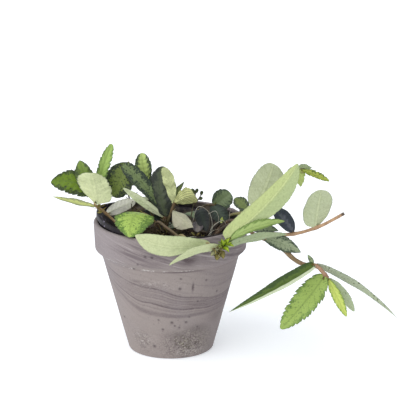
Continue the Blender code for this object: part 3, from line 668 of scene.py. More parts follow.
looks = {
    "dark": ((97, 123, 24), (44, 58, 24), 0.55, (190, 200, 165), (120, 130, 110), 1.0, 0.9),
    "darkPlain": ((116, 140, 60), (74, 90, 50), 0.6, (190, 200, 165), (120, 130, 110), 0.6, 0.7),
    "darkBright": ((180, 200, 118), (66, 80, 58), 0.55, (190, 200, 165), (120, 130, 110), 0.5, 0.7),
    "mottled": ((118, 134, 66), (48, 58, 44), 0.45, (180, 185, 160), (110, 110, 110), 1.8, 0.6),
    "arched": ((116, 132, 88), (50, 62, 54), 0.42, (190, 195, 165), (120, 120, 110), 1.6, 0.7),
    "blunt": ((82, 90, 70), (50, 54, 50), 0.35, (150, 150, 130), (100, 100, 95), 0.8, 0.5),
    "slate": ((90, 91, 104), (54, 59, 70), 0.2, (140, 140, 140), (100, 100, 100), 0.2, 0.7),
    # painted shade: leaves coloured as dark as the shade low in the pot
    "deep": ((29, 38, 33), (19, 23, 26), 0.4, (104, 108, 92), (70, 72, 70), 0.5, 0.12),
    "dim": ((58, 70, 60), (38, 46, 42), 0.5, (130, 140, 116), (95, 100, 90), 0.8, 0.4),
    "green": ((114, 130, 94), (66, 80, 62), 0.6, (150, 160, 130), (105, 110, 100), 0.6, 0.4),
    "tipGreen": ((140, 168, 70), (90, 118, 48), 0.6, (164, 180, 104), (104, 122, 52), 0.5, 0.8),
    "tipYoung": ((166, 178, 78), (108, 126, 44), 0.6, (176, 190, 96), (120, 132, 60), 1.0, 0.8),
    "young": ((160, 188, 100), (104, 132, 66), 0.66, (196, 212, 150), (150, 160, 120), 0.4, 0.8),
    "side": ((104, 118, 66), (58, 70, 52), 0.5, (150, 160, 130), (105, 110, 100), 1.0, 0.5),
    "droop": ((164, 192, 94), (98, 130, 58), 0.58, (200, 214, 150), (150, 160, 120), 1.3, 0.8),
    "fresh": ((158, 184, 84), (106, 140, 36), 0.6, (200, 214, 150), (150, 160, 120), 0.8, 0.9),
    "broad": ((146, 170, 86), (108, 136, 66), 0.75, (190, 205, 140), (150, 160, 120), 0.9, 0.8),
    "folded": ((84, 106, 44), (56, 78, 34), 0.4, (200, 210, 180), (150, 155, 135), 0.7, 0.5),
    "pale": ((150, 180, 100), (90, 120, 70), 0.6, (206, 213, 167), (160, 166, 140), 0.3, 0.6),
    "paleGreen": ((150, 180, 100), (90, 120, 70), 0.6, (189, 196, 152), (160, 168, 130), 0.2, 0.6),
    "upright": ((150, 180, 100), (90, 120, 70), 0.6, (174, 186, 127), (150, 160, 116), 0.3, 0.9),
    "leanPale": ((188, 200, 162), (150, 160, 134), 0.8, (216, 223, 186), (140, 146, 120), 0.6, 0.3),
    "waved": ((150, 180, 100), (90, 120, 70), 0.6, (197, 203, 151), (156, 162, 121), 0.6, 0.7),
    "paleGrey": ((188, 200, 162), (150, 160, 134), 0.8, (179, 187, 152), (150, 156, 140), 0.3, 0.9),
    "beige": ((150, 150, 110), (100, 100, 80), 0.5, (205, 201, 177), (161, 156, 133), 0.2, 0.1),
    "paper": ((170, 168, 140), (120, 118, 100), 0.5, (232, 231, 218), (190, 186, 168), 0.05, 0.2),
    "purple": ((120, 112, 108), (88, 80, 84), 0.4, (150, 142, 134), (110, 104, 104), 0.2, 0.3),
    "greySide": ((134, 148, 110), (100, 112, 88), 0.5, (150, 163, 126), (108, 116, 100), 0.8, 0.6),
    "greyGreen": ((150, 166, 124), (108, 124, 98), 0.5, (166, 178, 146), (120, 128, 112), 1.0, 0.6),
    "strip": ((122, 136, 104), (68, 78, 66), 0.45, (150, 160, 130), (105, 110, 100), 1.2, 0.6),
    "streaky": ((156, 167, 138), (100, 106, 98), 0.5, (166, 175, 150), (100, 104, 98), 1.8, 0.8),
    "crinkled": ((150, 180, 100), (90, 120, 70), 0.6, (230, 233, 166), (160, 166, 100), 0.2, 0.3),
    "bright": ((150, 172, 102), (106, 130, 64), 0.55, (190, 205, 130), (150, 160, 110), 0.5, 0.8),
    "brightNarrow": ((190, 204, 104), (132, 158, 66), 0.7, (190, 205, 130), (150, 160, 110), 0.4, 0.6),
    "speckled": ((152, 163, 132), (74, 86, 70), 0.5, (176, 184, 156), (130, 132, 120), 1.2, 0.6),
    "narrow": ((206, 214, 138), (160, 166, 124), 0.5, (206, 213, 152), (134, 128, 128), 0.4, 0.4),
    "bud": ((158, 182, 46), (106, 128, 30), 0.6, (176, 192, 84), (130, 140, 60), 0.6, 0.8),
    "moss": ((176, 190, 84), (120, 136, 50), 0.6, (180, 190, 110), (130, 140, 70), 0.4, 0.3),
    "olive": ((134, 124, 64), (96, 90, 46), 0.5, (140, 130, 84), (100, 92, 58), 0.6, 0.3),
    "brown": ((122, 108, 52), (84, 70, 36), 0.5, (136, 116, 76), (96, 80, 50), 0.8, 0.6),
    "husk": ((92, 78, 56), (58, 48, 36), 0.5, (104, 90, 66), (70, 60, 44), 1.0, 0.4),
    "weed": ((82, 92, 60), (52, 60, 44), 0.5, (100, 110, 80), (70, 70, 60), 0.3, 0.3),
}

# 1: veins that fan out, 2: one half darker and greyer, painted shade of its fold, -1: one side turned up, so
#    that its pale back shows
patterns = {"crinkled": 1, "upright": 2, "folded": -1}

forms = {  # powers of the half width v^a (1-v)^b
    "round": (0.55, 0.50),
    "oval": (0.65, 0.70),
    "blunt": (0.80, 0.50),
    "lance": (0.75, 1.05),
    "long": (0.34, 0.95),
    "fan": (0.80, 0.32),
    "spade": (1.35, 1.45),
    "even": (0.45, 0.65),
    "sword": (0.72, 0.65),
    "spear": (0.9, 0.95),
    "over": (1.15, 0.75),
}

blades = {
    "columns": 19,
    "fewColumns": 9,  # of a leaf up to 5 mm wide
    "foot": 0.55,  # half width where it leaves the stem
    "thick": 0.34,
    "rib": 0.4,
    "toothLength": 3.0,
    "quilt": 0.3,
    "veins": 7,
}


def leaf(base, tip, face, width, look, form="oval", arch=0.06, fold=8, bend=0, wave=0, skew=0, teeth=0.1):
    # Arch and bend are shares of the length, fold is in degrees and wave in mm. Skew moves the widest
    # place of one edge against the other's, and teeth are shares of the half width.
    return dict(locals())


def halfWidth(one, v, hand):
    a, b = forms[one["form"]]
    a *= 1 - hand * one["skew"]
    widest = a / (a + b)
    full = one["width"] / 2 / (widest**a * (1 - widest) ** b)
    return np.maximum(full * v**a * (1 - v) ** b, blades["foot"] * (1 - v))


def bladeShape(one):
    # A leaf's two sides as grids: v runs from foot to tip and u from edge to edge. The midrib is a line
    # bowed by a parabola, the blade folds up from it, and its skin swells between the side veins.
    base, tip, face = (np.array(one[key], float) for key in ("base", "tip", "face"))
    length = np.linalg.norm(tip - base)
    ahead = (tip - base) / length
    up = face - ahead * (face @ ahead)
    up /= np.linalg.norm(up)
    side = np.cross(up, ahead)
    small = min(1, one["width"] / 12)
    teeth = max(4, round(length / (blades["toothLength"] * (0.5 + 0.5 * small))))
    rows = max(16, 6 * teeth)
    columns = blades["columns"] if one["width"] > 5 else blades["fewColumns"]
    v = np.linspace(0, 1, rows)[:, None]
    u = np.sin(np.linspace(-1, 1, columns) * 1.35) / math.sin(1.35)
    u = u[None, :]
    out = np.abs(u)
    bowed = 4 * v * (1 - v)
    half = np.where(u < 0, halfWidth(one, v, -1), halfWidth(one, v, 1))
    saw = (v * teeth + 0.15 * np.sin(v * 9)) % 1
    phase = 3 * one["base"][0] + one["tip"][2]
    uneven = 0.75 + 0.4 * np.sin(2.4 * np.floor(v * teeth + 0.15 * np.sin(v * 9)) + phase + 2 * np.sign(u))
    cutback = one["teeth"] * uneven * (1 - saw) ** 1.3 * out**3 * smoothStep(0, 0.12, v)
    half = np.maximum(half * (1 - cutback), 0.05)
    fold = math.radians(one["fold"])
    ruffle = 0.06 * half * np.sin(v * 15 + phase + 2 * np.sign(u)) * out**2
    vein = v * blades["veins"] - 1.3 * out
    swell = blades["quilt"] * small * (1 - np.cos(math.tau * vein)) * np.sqrt(out) * (1 - out**4) * bowed
    lift = half * math.sin(fold) * out**1.25 + one["wave"] * np.sin(3 * math.tau * v) * bowed * out**0.8
    lift = lift + ruffle + swell
    across = u * half * math.cos(fold)
    forward = 0.5 * one["teeth"] * half * saw * out**6
    middle = base + (length * v + forward)[..., None] * ahead + across[..., None] * side
    middle = middle + (length * bowed * one["arch"] + lift)[..., None] * up
    middle = middle + (length * bowed * one["bend"])[..., None] * side
    thick = blades["thick"] * small * (0.45 + 0.55 * (1 - out**2)) / 2
    rib = blades["rib"] * small * (1 - 0.75 * v) * np.exp(-((u * half / (0.5 * small)) ** 2))
    upper = middle + (thick - 0.4 * rib)[..., None] * up
    lower = middle - (thick + rib)[..., None] * up
    points = np.concatenate([upper.reshape(-1, 3), lower.reshape(-1, 3)])
    place = np.stack([u + 0 * v, v + 0 * u, np.ones_like(half)], -1).reshape(-1, 3)
    place = np.concatenate([place, place * (1, 1, 0)])
    return points, bladeFaces(rows, columns), place


def bladeFaces(rows, columns):
    # Both grids, and a thin strip round the edge that joins them.
    number = np.arange(rows * columns).reshape(rows, columns)
    under = rows * columns
    top = gridFaces(rows, columns)
    loop = np.concatenate([number[:, 0], number[-1, 1:], number[-2::-1, -1], number[0, -2:0:-1]])
    onward = np.roll(loop, -1)
    strip = np.stack([onward, loop, loop + under, onward + under], -1)
    return np.concatenate([top, top[:, ::-1] + under, strip]), np.zeros((0, 3), int)


def gather(shapes):  # several bodies in one set of points and faces
    starts = np.cumsum([0] + [len(points) for points, _, _ in shapes])
    points = np.vstack([points for points, _, _ in shapes])
    moved = [[kind + start for kind in kinds] for (_, kinds, _), start in zip(shapes, starts)]
    faces = [np.concatenate(group) for group in zip(*moved)]
    facts = {key: np.concatenate([words[key] for _, _, words in shapes]) for key in shapes[0][2]}
    return points, faces, facts


def bladeFacts(one, place):
    centre, margin, reach, under, rim, flecks, veins = looks[one["look"]]
    paints = {"centre": centre, "margin": margin, "under": under, "rim": rim}
    facts = {key: np.ones((len(place), 1)) * [tint(*paint)] for key, paint in paints.items()}
    habit = (reach, flecks, veins, patterns.get(one["look"], 0))
    return {"place": place, **facts, "habit": np.ones((len(place), 1)) * [habit]}


def addLeaves(name, leaves):
    shapes = []
    for one in leaves:
        points, faces, place = bladeShape(one)
        shapes.append((points, faces, bladeFacts(one, place)))
    points, faces, facts = gather(shapes)
    return addPiece(name, points, faces, leafSkin, facts, sharp=50)


def leafMaterial():
    material, tree, shader = newMaterial("leaf skin", 0.5, 0.26)
    where = objectPlace(tree)
    u, v, side = parts(attribute(tree, "place", "Vector"))
    reach, flecks, veins = parts(attribute(tree, "habit", "Vector"))
    pattern = attribute(tree, "habit", "Alpha")
    centre, under = attribute(tree, "centre"), attribute(tree, "under")
    out = calc("ABSOLUTE", u)
    soft = noise(where, 170)
    fine = noise(where, 800, 3, 0.6)
    row = calc("MULTIPLY_ADD", v, blades["veins"], times(out, -1.3))
    row = plus(row, times(calc("SUBTRACT", soft, 0.5), 0.35))
    gap = times(calc("PINGPONG", row, 0.5), 2)
    fan = times(calc("PINGPONG", calc("MULTIPLY_ADD", u, 4.5, soft), 0.5), 2)
    fanned = times(ramp(pattern, 0.4, 0.6), ramp(pattern, 1.6, 1.4))
    fanVein = times(ramp(fan, 0.36, 0.06), fanned)
    sideVein = times(ramp(gap, 0.24, 0.0), 0.6)
    midVein = ramp(out, 0.1, 0.03)
    line = times(calc("MAXIMUM", sideVein, midVein), veins)
    # The bright centre reaches out between the side veins, with a torn, spotted border
    torn = times(calc("SUBTRACT", fine, 0.5), calc("MULTIPLY_ADD", flecks, 1.1, 0.3))
    shift = calc("MULTIPLY_ADD", calc("SUBTRACT", soft, 0.5), 0.9, times(gap, -0.2))
    spread = calc("SUBTRACT", plus(out, shift, torn, 0.1), reach)
    upper = mixed(ramp(spread, -0.2, 0.22), centre, attribute(tree, "margin"))
    upper = over(upper, (times(line, 0.35), (76, 96, 44)))
    speckle = ramp(noise(where, 1300, 2, 0.6), 0.56, 0.66, 0, 0.5)
    upper = over(
        mixed(times(speckle, flecks), upper, centre),
        (times(ramp(fine, 0.55, 0.66, 0, 0.55), flecks), (40, 52, 36)),
        (ramp(out, 0.86, 1.0, 0, 0.5), (58, 66, 46)),
    )
    turned = times(ramp(u, 0.3, 0.42), ramp(pattern, -0.4, -0.6))
    upper = mixed(turned, upper, under)
    # The pale underside: its rim, veins with a shadow beside them, painted shade on one half of a folded
    # leaf, fine cells, blotches and spots
    beside = times(ramp(out, 0.05, 0.1), ramp(out, 0.2, 0.11))
    # painted shade: one half of a folded leaf made darker and greyer
    cool = times(ramp(u, 0.0, 0.25, 0, 0.6), ramp(pattern, 1.4, 1.6))
    cells = add("TexVoronoi", {"Vector": where, "Scale": 430}, feature="DISTANCE_TO_EDGE").outputs["Distance"]
    spot = times(ramp(noise(where, 620, 2), 0.62, 0.68), flecks)
    lower = over(
        mixed(ramp(out, 0.88, 1.0, 0, 0.8), under, attribute(tree, "rim")),
        (times(sideVein, times(veins, 0.3)), (140, 150, 100)),
        (times(midVein, 0.2), (214, 220, 170)),
        (times(beside, 0.14), (122, 134, 86)),
        (cool, (160, 174, 132)),
        (ramp(cells, 0.07, 0.0, 0, 0.07), (120, 134, 90)),
        (ramp(soft, 0.5, 0.75, 0, 0.3), (160, 172, 124)),
        (times(spot, 0.6), (84, 90, 62)),
    )
    colour = over(mixed(side, lower, upper), (times(fanVein, 0.72), (112, 124, 62)))
    grey = ramp(fine, 0.3, 0.7, 0.92, 1.06)
    shade = add("CombineColor", {0: grey, 1: grey, 2: grey}).outputs[0]
    tree.links.new(ramp(side, 0, 1, 0.62, 0.44), shader.inputs["Roughness"])
    grain = times(plus(fine, soft), ramp(side, 0, 1, 0.45, 1))
    height = calc("SUBTRACT", grain, plus(line, fanVein))
    coat(shader, mixed(1.0, colour, shade, "MULTIPLY"), height, 0.0003, 0.5)
    return material


# Stems

stems = {
    "sides": 14,
    "step": 7,  # points between two of the route's own
    "swell": 0.35,
    "swellReach": 1.6,
    "leafNear": 3,  # a leaf whose foot is further off swells no stem
    "holeFoot": 66.3,
    "holeTop": 74,
    "gloom": (84, 99),  # heights between which the painted shade on the stems in the pot fades out
    "shadeReach": (42, 51),  # and how far out, so that only what is in the pot gets the painted shade
    # the painted shade colour of stems low in the pot
    "deep": (52, 44, 37),
}


def smoothPath(points, step):  # a curve through the points, as a Catmull-Rom spline gives it
    points = np.array(points, float)
    ends = np.vstack([2 * points[0] - points[1], points, 2 * points[-1] - points[-2]])
    a, b, c, d = (ends[i : len(ends) - 3 + i, None, :] for i in range(4))
    t = (np.arange(step) / step)[None, :, None]
    curve = 2 * b + (c - a) * t + (2 * a - 5 * b + 4 * c - d) * t**2 + (3 * b - a - 3 * c + d) * t**3
    return np.vstack([(0.5 * curve).reshape(-1, points.shape[1]), points[-1:]])


def tubeShape(path, radius, sides):
    # A ring carried along a path, with a point at each end that closes it.
    heading = np.gradient(path, axis=0)
    heading /= np.linalg.norm(heading, axis=1, keepdims=True)
    flat = np.linalg.svd(path - path.mean(0))[2][-1]
    first = np.cross(heading, flat + (1e-3, 2e-3, 1e-3))
    first /= np.linalg.norm(first, axis=1, keepdims=True)
    second = np.cross(first, heading)
    angle = circle(sides)[None, :, None]
    ring = np.cos(angle) * first[:, None, :] + np.sin(angle) * second[:, None, :]
    points = path[:, None, :] + np.asarray(radius)[..., None, None] * ring
    return np.vstack([points.reshape(-1, 3), path[:1], path[-1:]])


def stem(route, radius, low=(150, 112, 84), high=(170, 136, 96), cut=False):  # colours of foot and tip; a dark foot colour is painted shade low in the pot
    return dict(locals())


def stemShape(stem, leaves, root):
    # A tube that tapers by a quarter and swells where each leaf leaves it.
    sides = stems["sides"]
    path = smoothPath(stem["route"], stems["step"])
    if root:
        path = np.vstack([[(*root, stems["holeFoot"])], [(*root, stems["holeTop"])], path])
    share = np.linspace(0, 1, len(path))
    radius = stem["radius"] * (1 - 0.25 * share)
    joints = np.zeros(len(path))
    for one in leaves:
        off = np.linalg.norm(path - one["base"], axis=1)
        near = off.min() < stems["leafNear"]
        joints = np.maximum(joints, np.exp(-((off / stems["swellReach"]) ** 2)) * near)
    radius = radius * (1 + stems["swell"] * joints + 0.05 * np.sin(share * 40 + stem["radius"] * 9))
    points = tubeShape(path, radius, sides)
    # the foot's colour gives way to the tip's; a dark foot colour paints the shade low in the pot
    shade = smoothStep(0.2, 0.6, np.repeat(share, sides))[:, None]
    shade = np.vstack([shade, [[0], [1]]])
    colour = (1 - shade) * [tint(*stem["low"])] + shade * [tint(*stem["high"])]
    # painted shade: below the rim and inside the pot the stems darken towards the shade colour
    far = np.hypot(points[:, :1], points[:, 1:2])
    lit = np.maximum(smoothStep(*stems["gloom"], points[:, 2:]), smoothStep(*stems["shadeReach"], far))
    colour = lit * colour + (1 - lit) * [tint(*stems["deep"])]
    knot = np.concatenate([np.repeat(joints, sides), joints[[0, -1]]])
    cut = np.zeros(len(points))
    if stem["cut"]:
        cut[-sides * 2 - 2 :] = 1
        cut[-2] = 0
    facts = {"stemColour": colour, "stemMarks": np.stack([knot, cut, 0 * cut], 1)}
    return points, roundFaces(len(path), sides), facts


def stemMaterial():
    material, tree, shader = newMaterial("stem bark", 0.55, 0.35)
    place = objectPlace(tree)
    marks = parts(attribute(tree, "stemMarks", "Vector"))
    soft = noise(place, 260)
    fine = noise(place, 1600, 3, 0.6)
    colour = over(
        attribute(tree, "stemColour"),
        (ramp(soft, 0.4, 0.65, 0, 0.45), (112, 84, 62)),
        (ramp(fine, 0.55, 0.7, 0, 0.5), (196, 168, 132)),
        (times(marks[0], 0.35), (120, 84, 66)),
        (times(marks[1], 0.9), (64, 54, 44)),
    )
    coat(shader, colour, plus(soft, fine), 0.0002, 0.4)
    return material


# Papery scales where the leaves leave the stem, and tufts of dry husks and tiny shoots

scales = {
    "length": (2.2, 4.6),
    "width": 1.1,
    "lift": 0.6,
    "leastWidth": 4,  # of a leaf that has scales at its foot
    "looks": ["brown", "olive", "husk"],
}


def scaleLeaves(leaves):  # one of each look at the foot of every leaf that is wide enough
    made = []
    for one in leaves:
        if one["width"] < scales["leastWidth"]:
            continue
        base = np.array(one["base"], float)
        ahead = np.array(one["tip"], float) - base
        ahead /= np.linalg.norm(ahead)
        foot = base + scales["lift"] * ahead
        for look in scales["looks"]:
            lean = ahead * 0.5 + luck.normal(size=3) * 0.6
            lean /= np.linalg.norm(lean)
            tip = foot + lean * luck.uniform(*scales["length"])
            made.append(leaf(foot, tip, luck.normal(size=3), scales["width"], look, "lance", teeth=0))
    return made


def tuftLeaves(tufts):  # small blades that stand up at random from a soft round patch
    made = []
    for middle, spread, count, length, width, kinds in tufts:
        for number in range(count):
            base = np.array(middle) + luck.normal(size=3) * spread
            lean = luck.normal(size=3) * (0.8, 0.8, 0.5) + (0, 0, 0.7)
            tip = base + lean / np.linalg.norm(lean) * length * luck.uniform(0.6, 1.3)
            face = luck.normal(size=3) + (0, -1, 0)
            made.append(leaf(base, tip, face, width, kinds[number % len(kinds)], "lance", teeth=0))
    return made


# The plant: each leaf's foot, tip, the way its upper side faces, width and look

shoots = {}

shoots["left_shoot"] = {
    "root": (-30, -8),
    "stems": [
        stem([(-30, -8, 79), (-31, -8, 85), (-36, -8, 92), (-42, -8, 98), (-48, -9, 104), (-53, -9, 108),
              (-54, -6, 116)], 1.1, (206, 168, 146), (176, 150, 108)),
    ],
    "leaves": [
        leaf((-53, -5, 115), (-85, -2, 123.3), (-0.1, -0.9, 0.35), 18.5, "dark", "oval", 0.05, 8, -0.12,
             teeth=0.14),
        leaf((-53, -6, 113), (-64, -6, 140), (-0.3, -0.95, 0.1), 15.5, "darkPlain", "oval", 0.05, 10),
        leaf((-53, -7, 112), (-41.5, -2, 151), (0.3, -1, 0.1), 9.5, "young", "blunt", 0.04, 14, 0.04,
             teeth=0.26),
        leaf((-52.6, -9.6, 108.8), (-55, -18, 134), (0.1, 0.97, -0.25), 24.5, "pale", "round", 0.1, 8,
             skew=0.7),
        leaf((-52.4, -9.9, 107.2), (-83, -15, 116), (0.1, -0.3, 0.95), 8, "narrow", "lance", -0.02, 12),
        leaf((-45.6, -8.6, 101.6), (-25, 0, 108.5), (-0.3, 0.9, -0.1), 9.5, "paper", "round", 0.1, 6),
    ],
    "tufts": [((-50, -9.3, 105), 1.4, 9, 4, 1.8, ["olive", "brown"])],
}

shoots["centre_shoot"] = {
    "root": (-4, -3),
    "stems": [
        stem([(-4, -3, 79), (-4, -3, 88), (-4, -1, 98), (-3, 1, 105)], 1.7, (70, 60, 42), (84, 76, 50)),
        stem([(-4, -3, 86), (-14, 2, 94), (-23, 4, 100), (-28, 4, 106), (-30.5, 3.8, 113), (-32, 3.5, 119)],
             0.7, (80, 66, 54), (66, 62, 54)),
        stem([(-4, -1, 96), (-14, 4, 112), (-23, 6, 126), (-29, 5.5, 134), (-30, 4.7, 136)], 0.8,
             (96, 80, 58), (110, 100, 66)),
        stem([(-4, -1, 96), (-10, 8, 106), (-15, 13, 113), (-18, 14, 119)], 0.8, (100, 84, 58),
             (130, 130, 70)),
        stem([(-4, -3, 84), (-10, -5, 93), (-15.5, -7, 99.5), (-19.5, -9, 102)], 0.9, (110, 88, 66),
             (150, 140, 80)),
        stem([(-4, -3, 88), (-1, -4, 97), (3, -5, 109)], 1.1, (66, 58, 42), (96, 90, 60)),
    ],
    "leaves": [
        leaf((-30, 4.5, 135.5), (-42, 2, 111.5), (-0.1, -0.95, 0.2), 22, "mottled", "round", 0.08, 6),
        leaf((-3.8, 0.8, 98.5), (-33.5, -6, 137), (0.35, -0.8, 0.45), 12.5, "arched", "fan", 0.05, 8, -0.02),
        leaf((-18, 14, 118), (-21, 16, 140), (0, -0.95, 0.25), 12.5, "darkBright", "round", 0.05, 10),
        leaf((-3, -3, 98), (-6, 1, 134), (-0.1, -0.95, 0.2), 17, "blunt", "round", 0.03, 6, 0.08),
        leaf((2.2, -4.8, 107), (-4.6, -8, 135.5), (0.15, 0.95, 0.2), 9, "waved", "blunt", 0.03, 8, 0.03, 0.9),
        leaf((2.5, -5, 108.3), (17.5, -8, 115), (-0.2, 0.9, 0.3), 16, "crinkled", "fan", 0.08, 8, 0, 0.5,
             teeth=0.12),
        leaf((-2.8, 1.2, 103), (10, 8, 121), (-0.3, -0.8, 0.5), 6, "side", "lance", 0.05, 10),
        leaf((-4.2, -2, 97), (-33.2, -14, 122), (-0.4, 0.95, 0), 6, "leanPale", "oval", 0.02, 12, teeth=0.03),
        leaf((-5, 0, 95), (-26, 3, 97), (0.1, -0.6, 0.8), 10, "deep", "oval", 0.08, 6),
        leaf((-19, -9, 101.8), (-27.8, -50, 96.4), (0.1, -0.1, 1), 28, "droop", "oval", 0.145, -8, -0.05),
        leaf((1, -4.8, 103.5), (16.6, -12, 92.3), (-0.39, 0.79, -0.48), 17.4, "beige", "spade", 0.03, 38,
             teeth=0.04),
        leaf((-4, -2, 88), (8, 14, 86), (0, -0.2, 1), 11, "green", "oval", 0.08, 8),
        leaf((-4, 0, 97), (-18, 18, 97), (0, -0.2, 1), 12, "green", "oval", 0.1, 8),
    ],
    "tufts": [
        ((-4, -6, 88), (3.2, 2.2, 5), 60, 5.5, 0.9, ["husk", "brown", "husk", "olive"]),
        ((-28, 2, 104), (2.4, 1.6, 4), 22, 4.5, 0.9, ["husk", "olive", "brown"]),
        ((-14, 2, 96), (4, 3, 2), 16, 4.5, 0.9, ["husk", "brown"]),
    ],
}

shoots["inner_shoot"] = {
    "root": (20, 10),
    "stems": [
        stem([(20, 10, 79), (20, 11, 90), (21, 12, 98), (25, 13, 102), (32, 13, 102)], 1.0, (60, 54, 46),
             (70, 68, 52)),
    ],
    "leaves": [
        leaf((21, 12, 100), (26, -7, 88), (-0.2, -0.75, 0.6), 11, "deep", "oval", 0.14, 6),
        leaf((30, 13, 102), (39, 3, 91), (0.1, -0.8, 0.6), 13, "dim", "round", 0.1, 6),
        leaf((20, 11, 91), (19.5, -12, 89), (-0.1, -0.3, 0.95), 8.5, "purple", "blunt", 0.06, 6),
        leaf((31, 13, 101), (43, 14, 111), (0.1, -0.95, 0.3), 15.5, "green", "round", 0.05, 6),
        leaf((20, 11, 92), (10, 26, 92), (0, -0.2, 1), 10, "green", "oval", 0.1, 6),
    ],
    "tufts": [
        ((37, -14, 97), 1.0, 5, 2.8, 1.8, ["moss"]),
        ((21, -20, 87.5), (3, 1, 0.8), 7, 2.6, 1.6, ["olive", "brown"]),
    ],
}

shoots["back_right_shoot"] = {
    "root": (31, 11),
    "stems": [
        stem([(31, 11, 79), (35, 10, 88), (43, 7, 96), (50, 2, 99), (60, -6, 104), (75, -15, 118),
              (90, -28, 140)], 1.2, (76, 66, 56), (150, 150, 96)),
    ],
    "leaves": [
        leaf((60.5, -7, 105), (73, -10, 138.5), (0.35, 0.9, 0), 23, "paleGrey", "round", 0.08, 6, skew=-0.35,
             teeth=0.04),
        leaf((56, -3, 102), (46, 10, 108), (0, -0.85, 0.5), 10, "side", "oval", 0.08, 6, teeth=0.14),
        leaf((89, -28, 139.5), (98.5, -33, 141.5), (-0.3, 0.8, 0.3), 7, "greySide", "lance", 0.06, 10,
             teeth=0.12),
        leaf((89, -28, 139), (91, -34, 128), (0.2, 0.9, 0.3), 9, "tipGreen", "long", 0.06, 10, teeth=0.2),
        leaf((89, -28, 139), (81.8, -27, 137.3), (0.3, -0.8, 0.3), 5, "greyGreen", "oval", 0.06, 10,
             teeth=0.14),
        leaf((91, -29, 139), (111, -30, 131), (0, -0.7, 0.7), 6.5, "tipYoung", "oval", 0.03, 22, teeth=0.3),
        leaf((50, 2, 98), (62, 22, 92), (0, -0.1, 1), 11, "dark", "oval", 0.1, 6),
        leaf((62, -7, 105), (72, 12, 108), (0.1, -0.2, 1), 10, "dark", "oval", 0.1, 6),
    ],
}

shoots["front_shoot"] = {
    "root": (-13, -13),
    "stems": [
        stem([(-13, -13, 79), (-12, -13, 90), (-9, -14, 97), (-3, -19, 94.5), (3, -25, 91.8), (6, -34, 92),
              (7, -42, 95.2), (9, -49.5, 97.4), (13, -55, 96), (20, -56.3, 95), (26.5, -57.2, 94.2),
              (30, -58, 90.5), (34, -56, 88), (40, -51, 94)], 1.1, (118, 104, 84), (150, 140, 96)),
    ],
    "leaves": [
        leaf((39, -51, 95), (87.8, -50, 148.7), (0.3, 0.9, -0.25), 19, "upright", "sword", 0.04, 18, 0.045,
             skew=-0.65, teeth=0.05),
        leaf((27.5, -57.3, 94.6), (-23.5, -57, 99.8), (0.1, 0.95, 0.2), 17.5, "paleGreen", "over", -0.05, 5,
             -0.1, skew=0.4, teeth=0.04),
        leaf((36.8, -54, 90.4), (0, -66, 81.2), (0.1, 0.8, 0.5), 8.5, "paleGreen", "even", -0.02, 8, 0.15),
        leaf((40, -52, 94), (79, -56, 109.5), (-0.3, -0.45, 0.85), 11, "bright", "oval", 0.1, 10, teeth=0.2),
        leaf((36.6, -54.3, 89.7), (81, -50, 98.4), (0.1, 0.65, 0.7), 12.5, "greySide", "oval", 0.05, 8),
        leaf((38, -53, 92), (41.5, -57, 98), (0, -0.9, 0.4), 4.6, "bud", "lance", 0.15, 20, teeth=0.2),
        leaf((37.8, -53.4, 91.6), (36, -58.5, 97), (0.1, -0.9, 0.4), 4.2, "bud", "lance", 0.15, 20,
             teeth=0.2),
        leaf((37.6, -53.5, 91.2), (44.5, -58, 92), (0.2, -0.5, 0.8), 4.6, "bud", "lance", 0.15, 20,
             teeth=0.2),
        leaf((36.8, -54, 90.5), (41, -60, 88.5), (0.2, -0.7, 0.6), 4.2, "bud", "lance", 0.15, 20, teeth=0.2),
        leaf((36, -54.8, 89.3), (34.5, -60, 93.5), (-0.3, -0.6, 0.7), 4.6, "bud", "lance", 0.15, 20,
             teeth=0.2),
        leaf((34.5, -56, 88.8), (32.5, -60, 82.8), (-0.2, -0.9, 0.2), 5.5, "olive", "oval", 0.15, 20),
        leaf((33.5, -56.3, 88.6), (28.5, -60, 86), (-0.2, -0.7, 0.6), 4.6, "beige", "oval", 0.15, 20),
        leaf((35, -55.6, 88.6), (37, -60.5, 84), (0.3, -0.9, 0.2), 4.6, "olive", "oval", 0.15, 20),
    ],
    "tufts": [
        ((33, -58.5, 88), 1.6, 34, 3.4, 1.5, ["olive", "beige", "beige", "brown"]),
        ((37.5, -54.5, 92), 1.2, 14, 4.6, 2.5, ["bud", "bud", "fresh"]),
    ],
}

shoots["cut_shoot"] = {
    "root": (30, -9),
    "stems": [
        stem([(30, -9, 79), (33, -10, 88), (40, -14, 97), (48, -19, 99), (56, -24, 97), (65, -28, 94.5),
              (79, -32, 93), (91, -34, 95), (104, -36, 100), (113, -37, 105), (121, -38, 110)], 1.45,
             (54, 47, 42), (182, 147, 114), cut=True),
    ],
    "leaves": [
        leaf((86.5, -33, 95), (72, -28, 112), (0.3, -0.9, 0.3), 11.5, "slate", "oval", 0.08, 8, teeth=0.02),
        leaf((101.5, -36, 99), (105, -38, 127), (-0.15, 1, 0.1), 20, "paleGrey", "round", 0.06, 6, 0, 0, -0.5,
             0.02),
        leaf((57, -25, 95.8), (76, -34.5, 96.4), (0, -0.6, 0.8), 10, "strip", "lance", 0.05, 8),
    ],
}

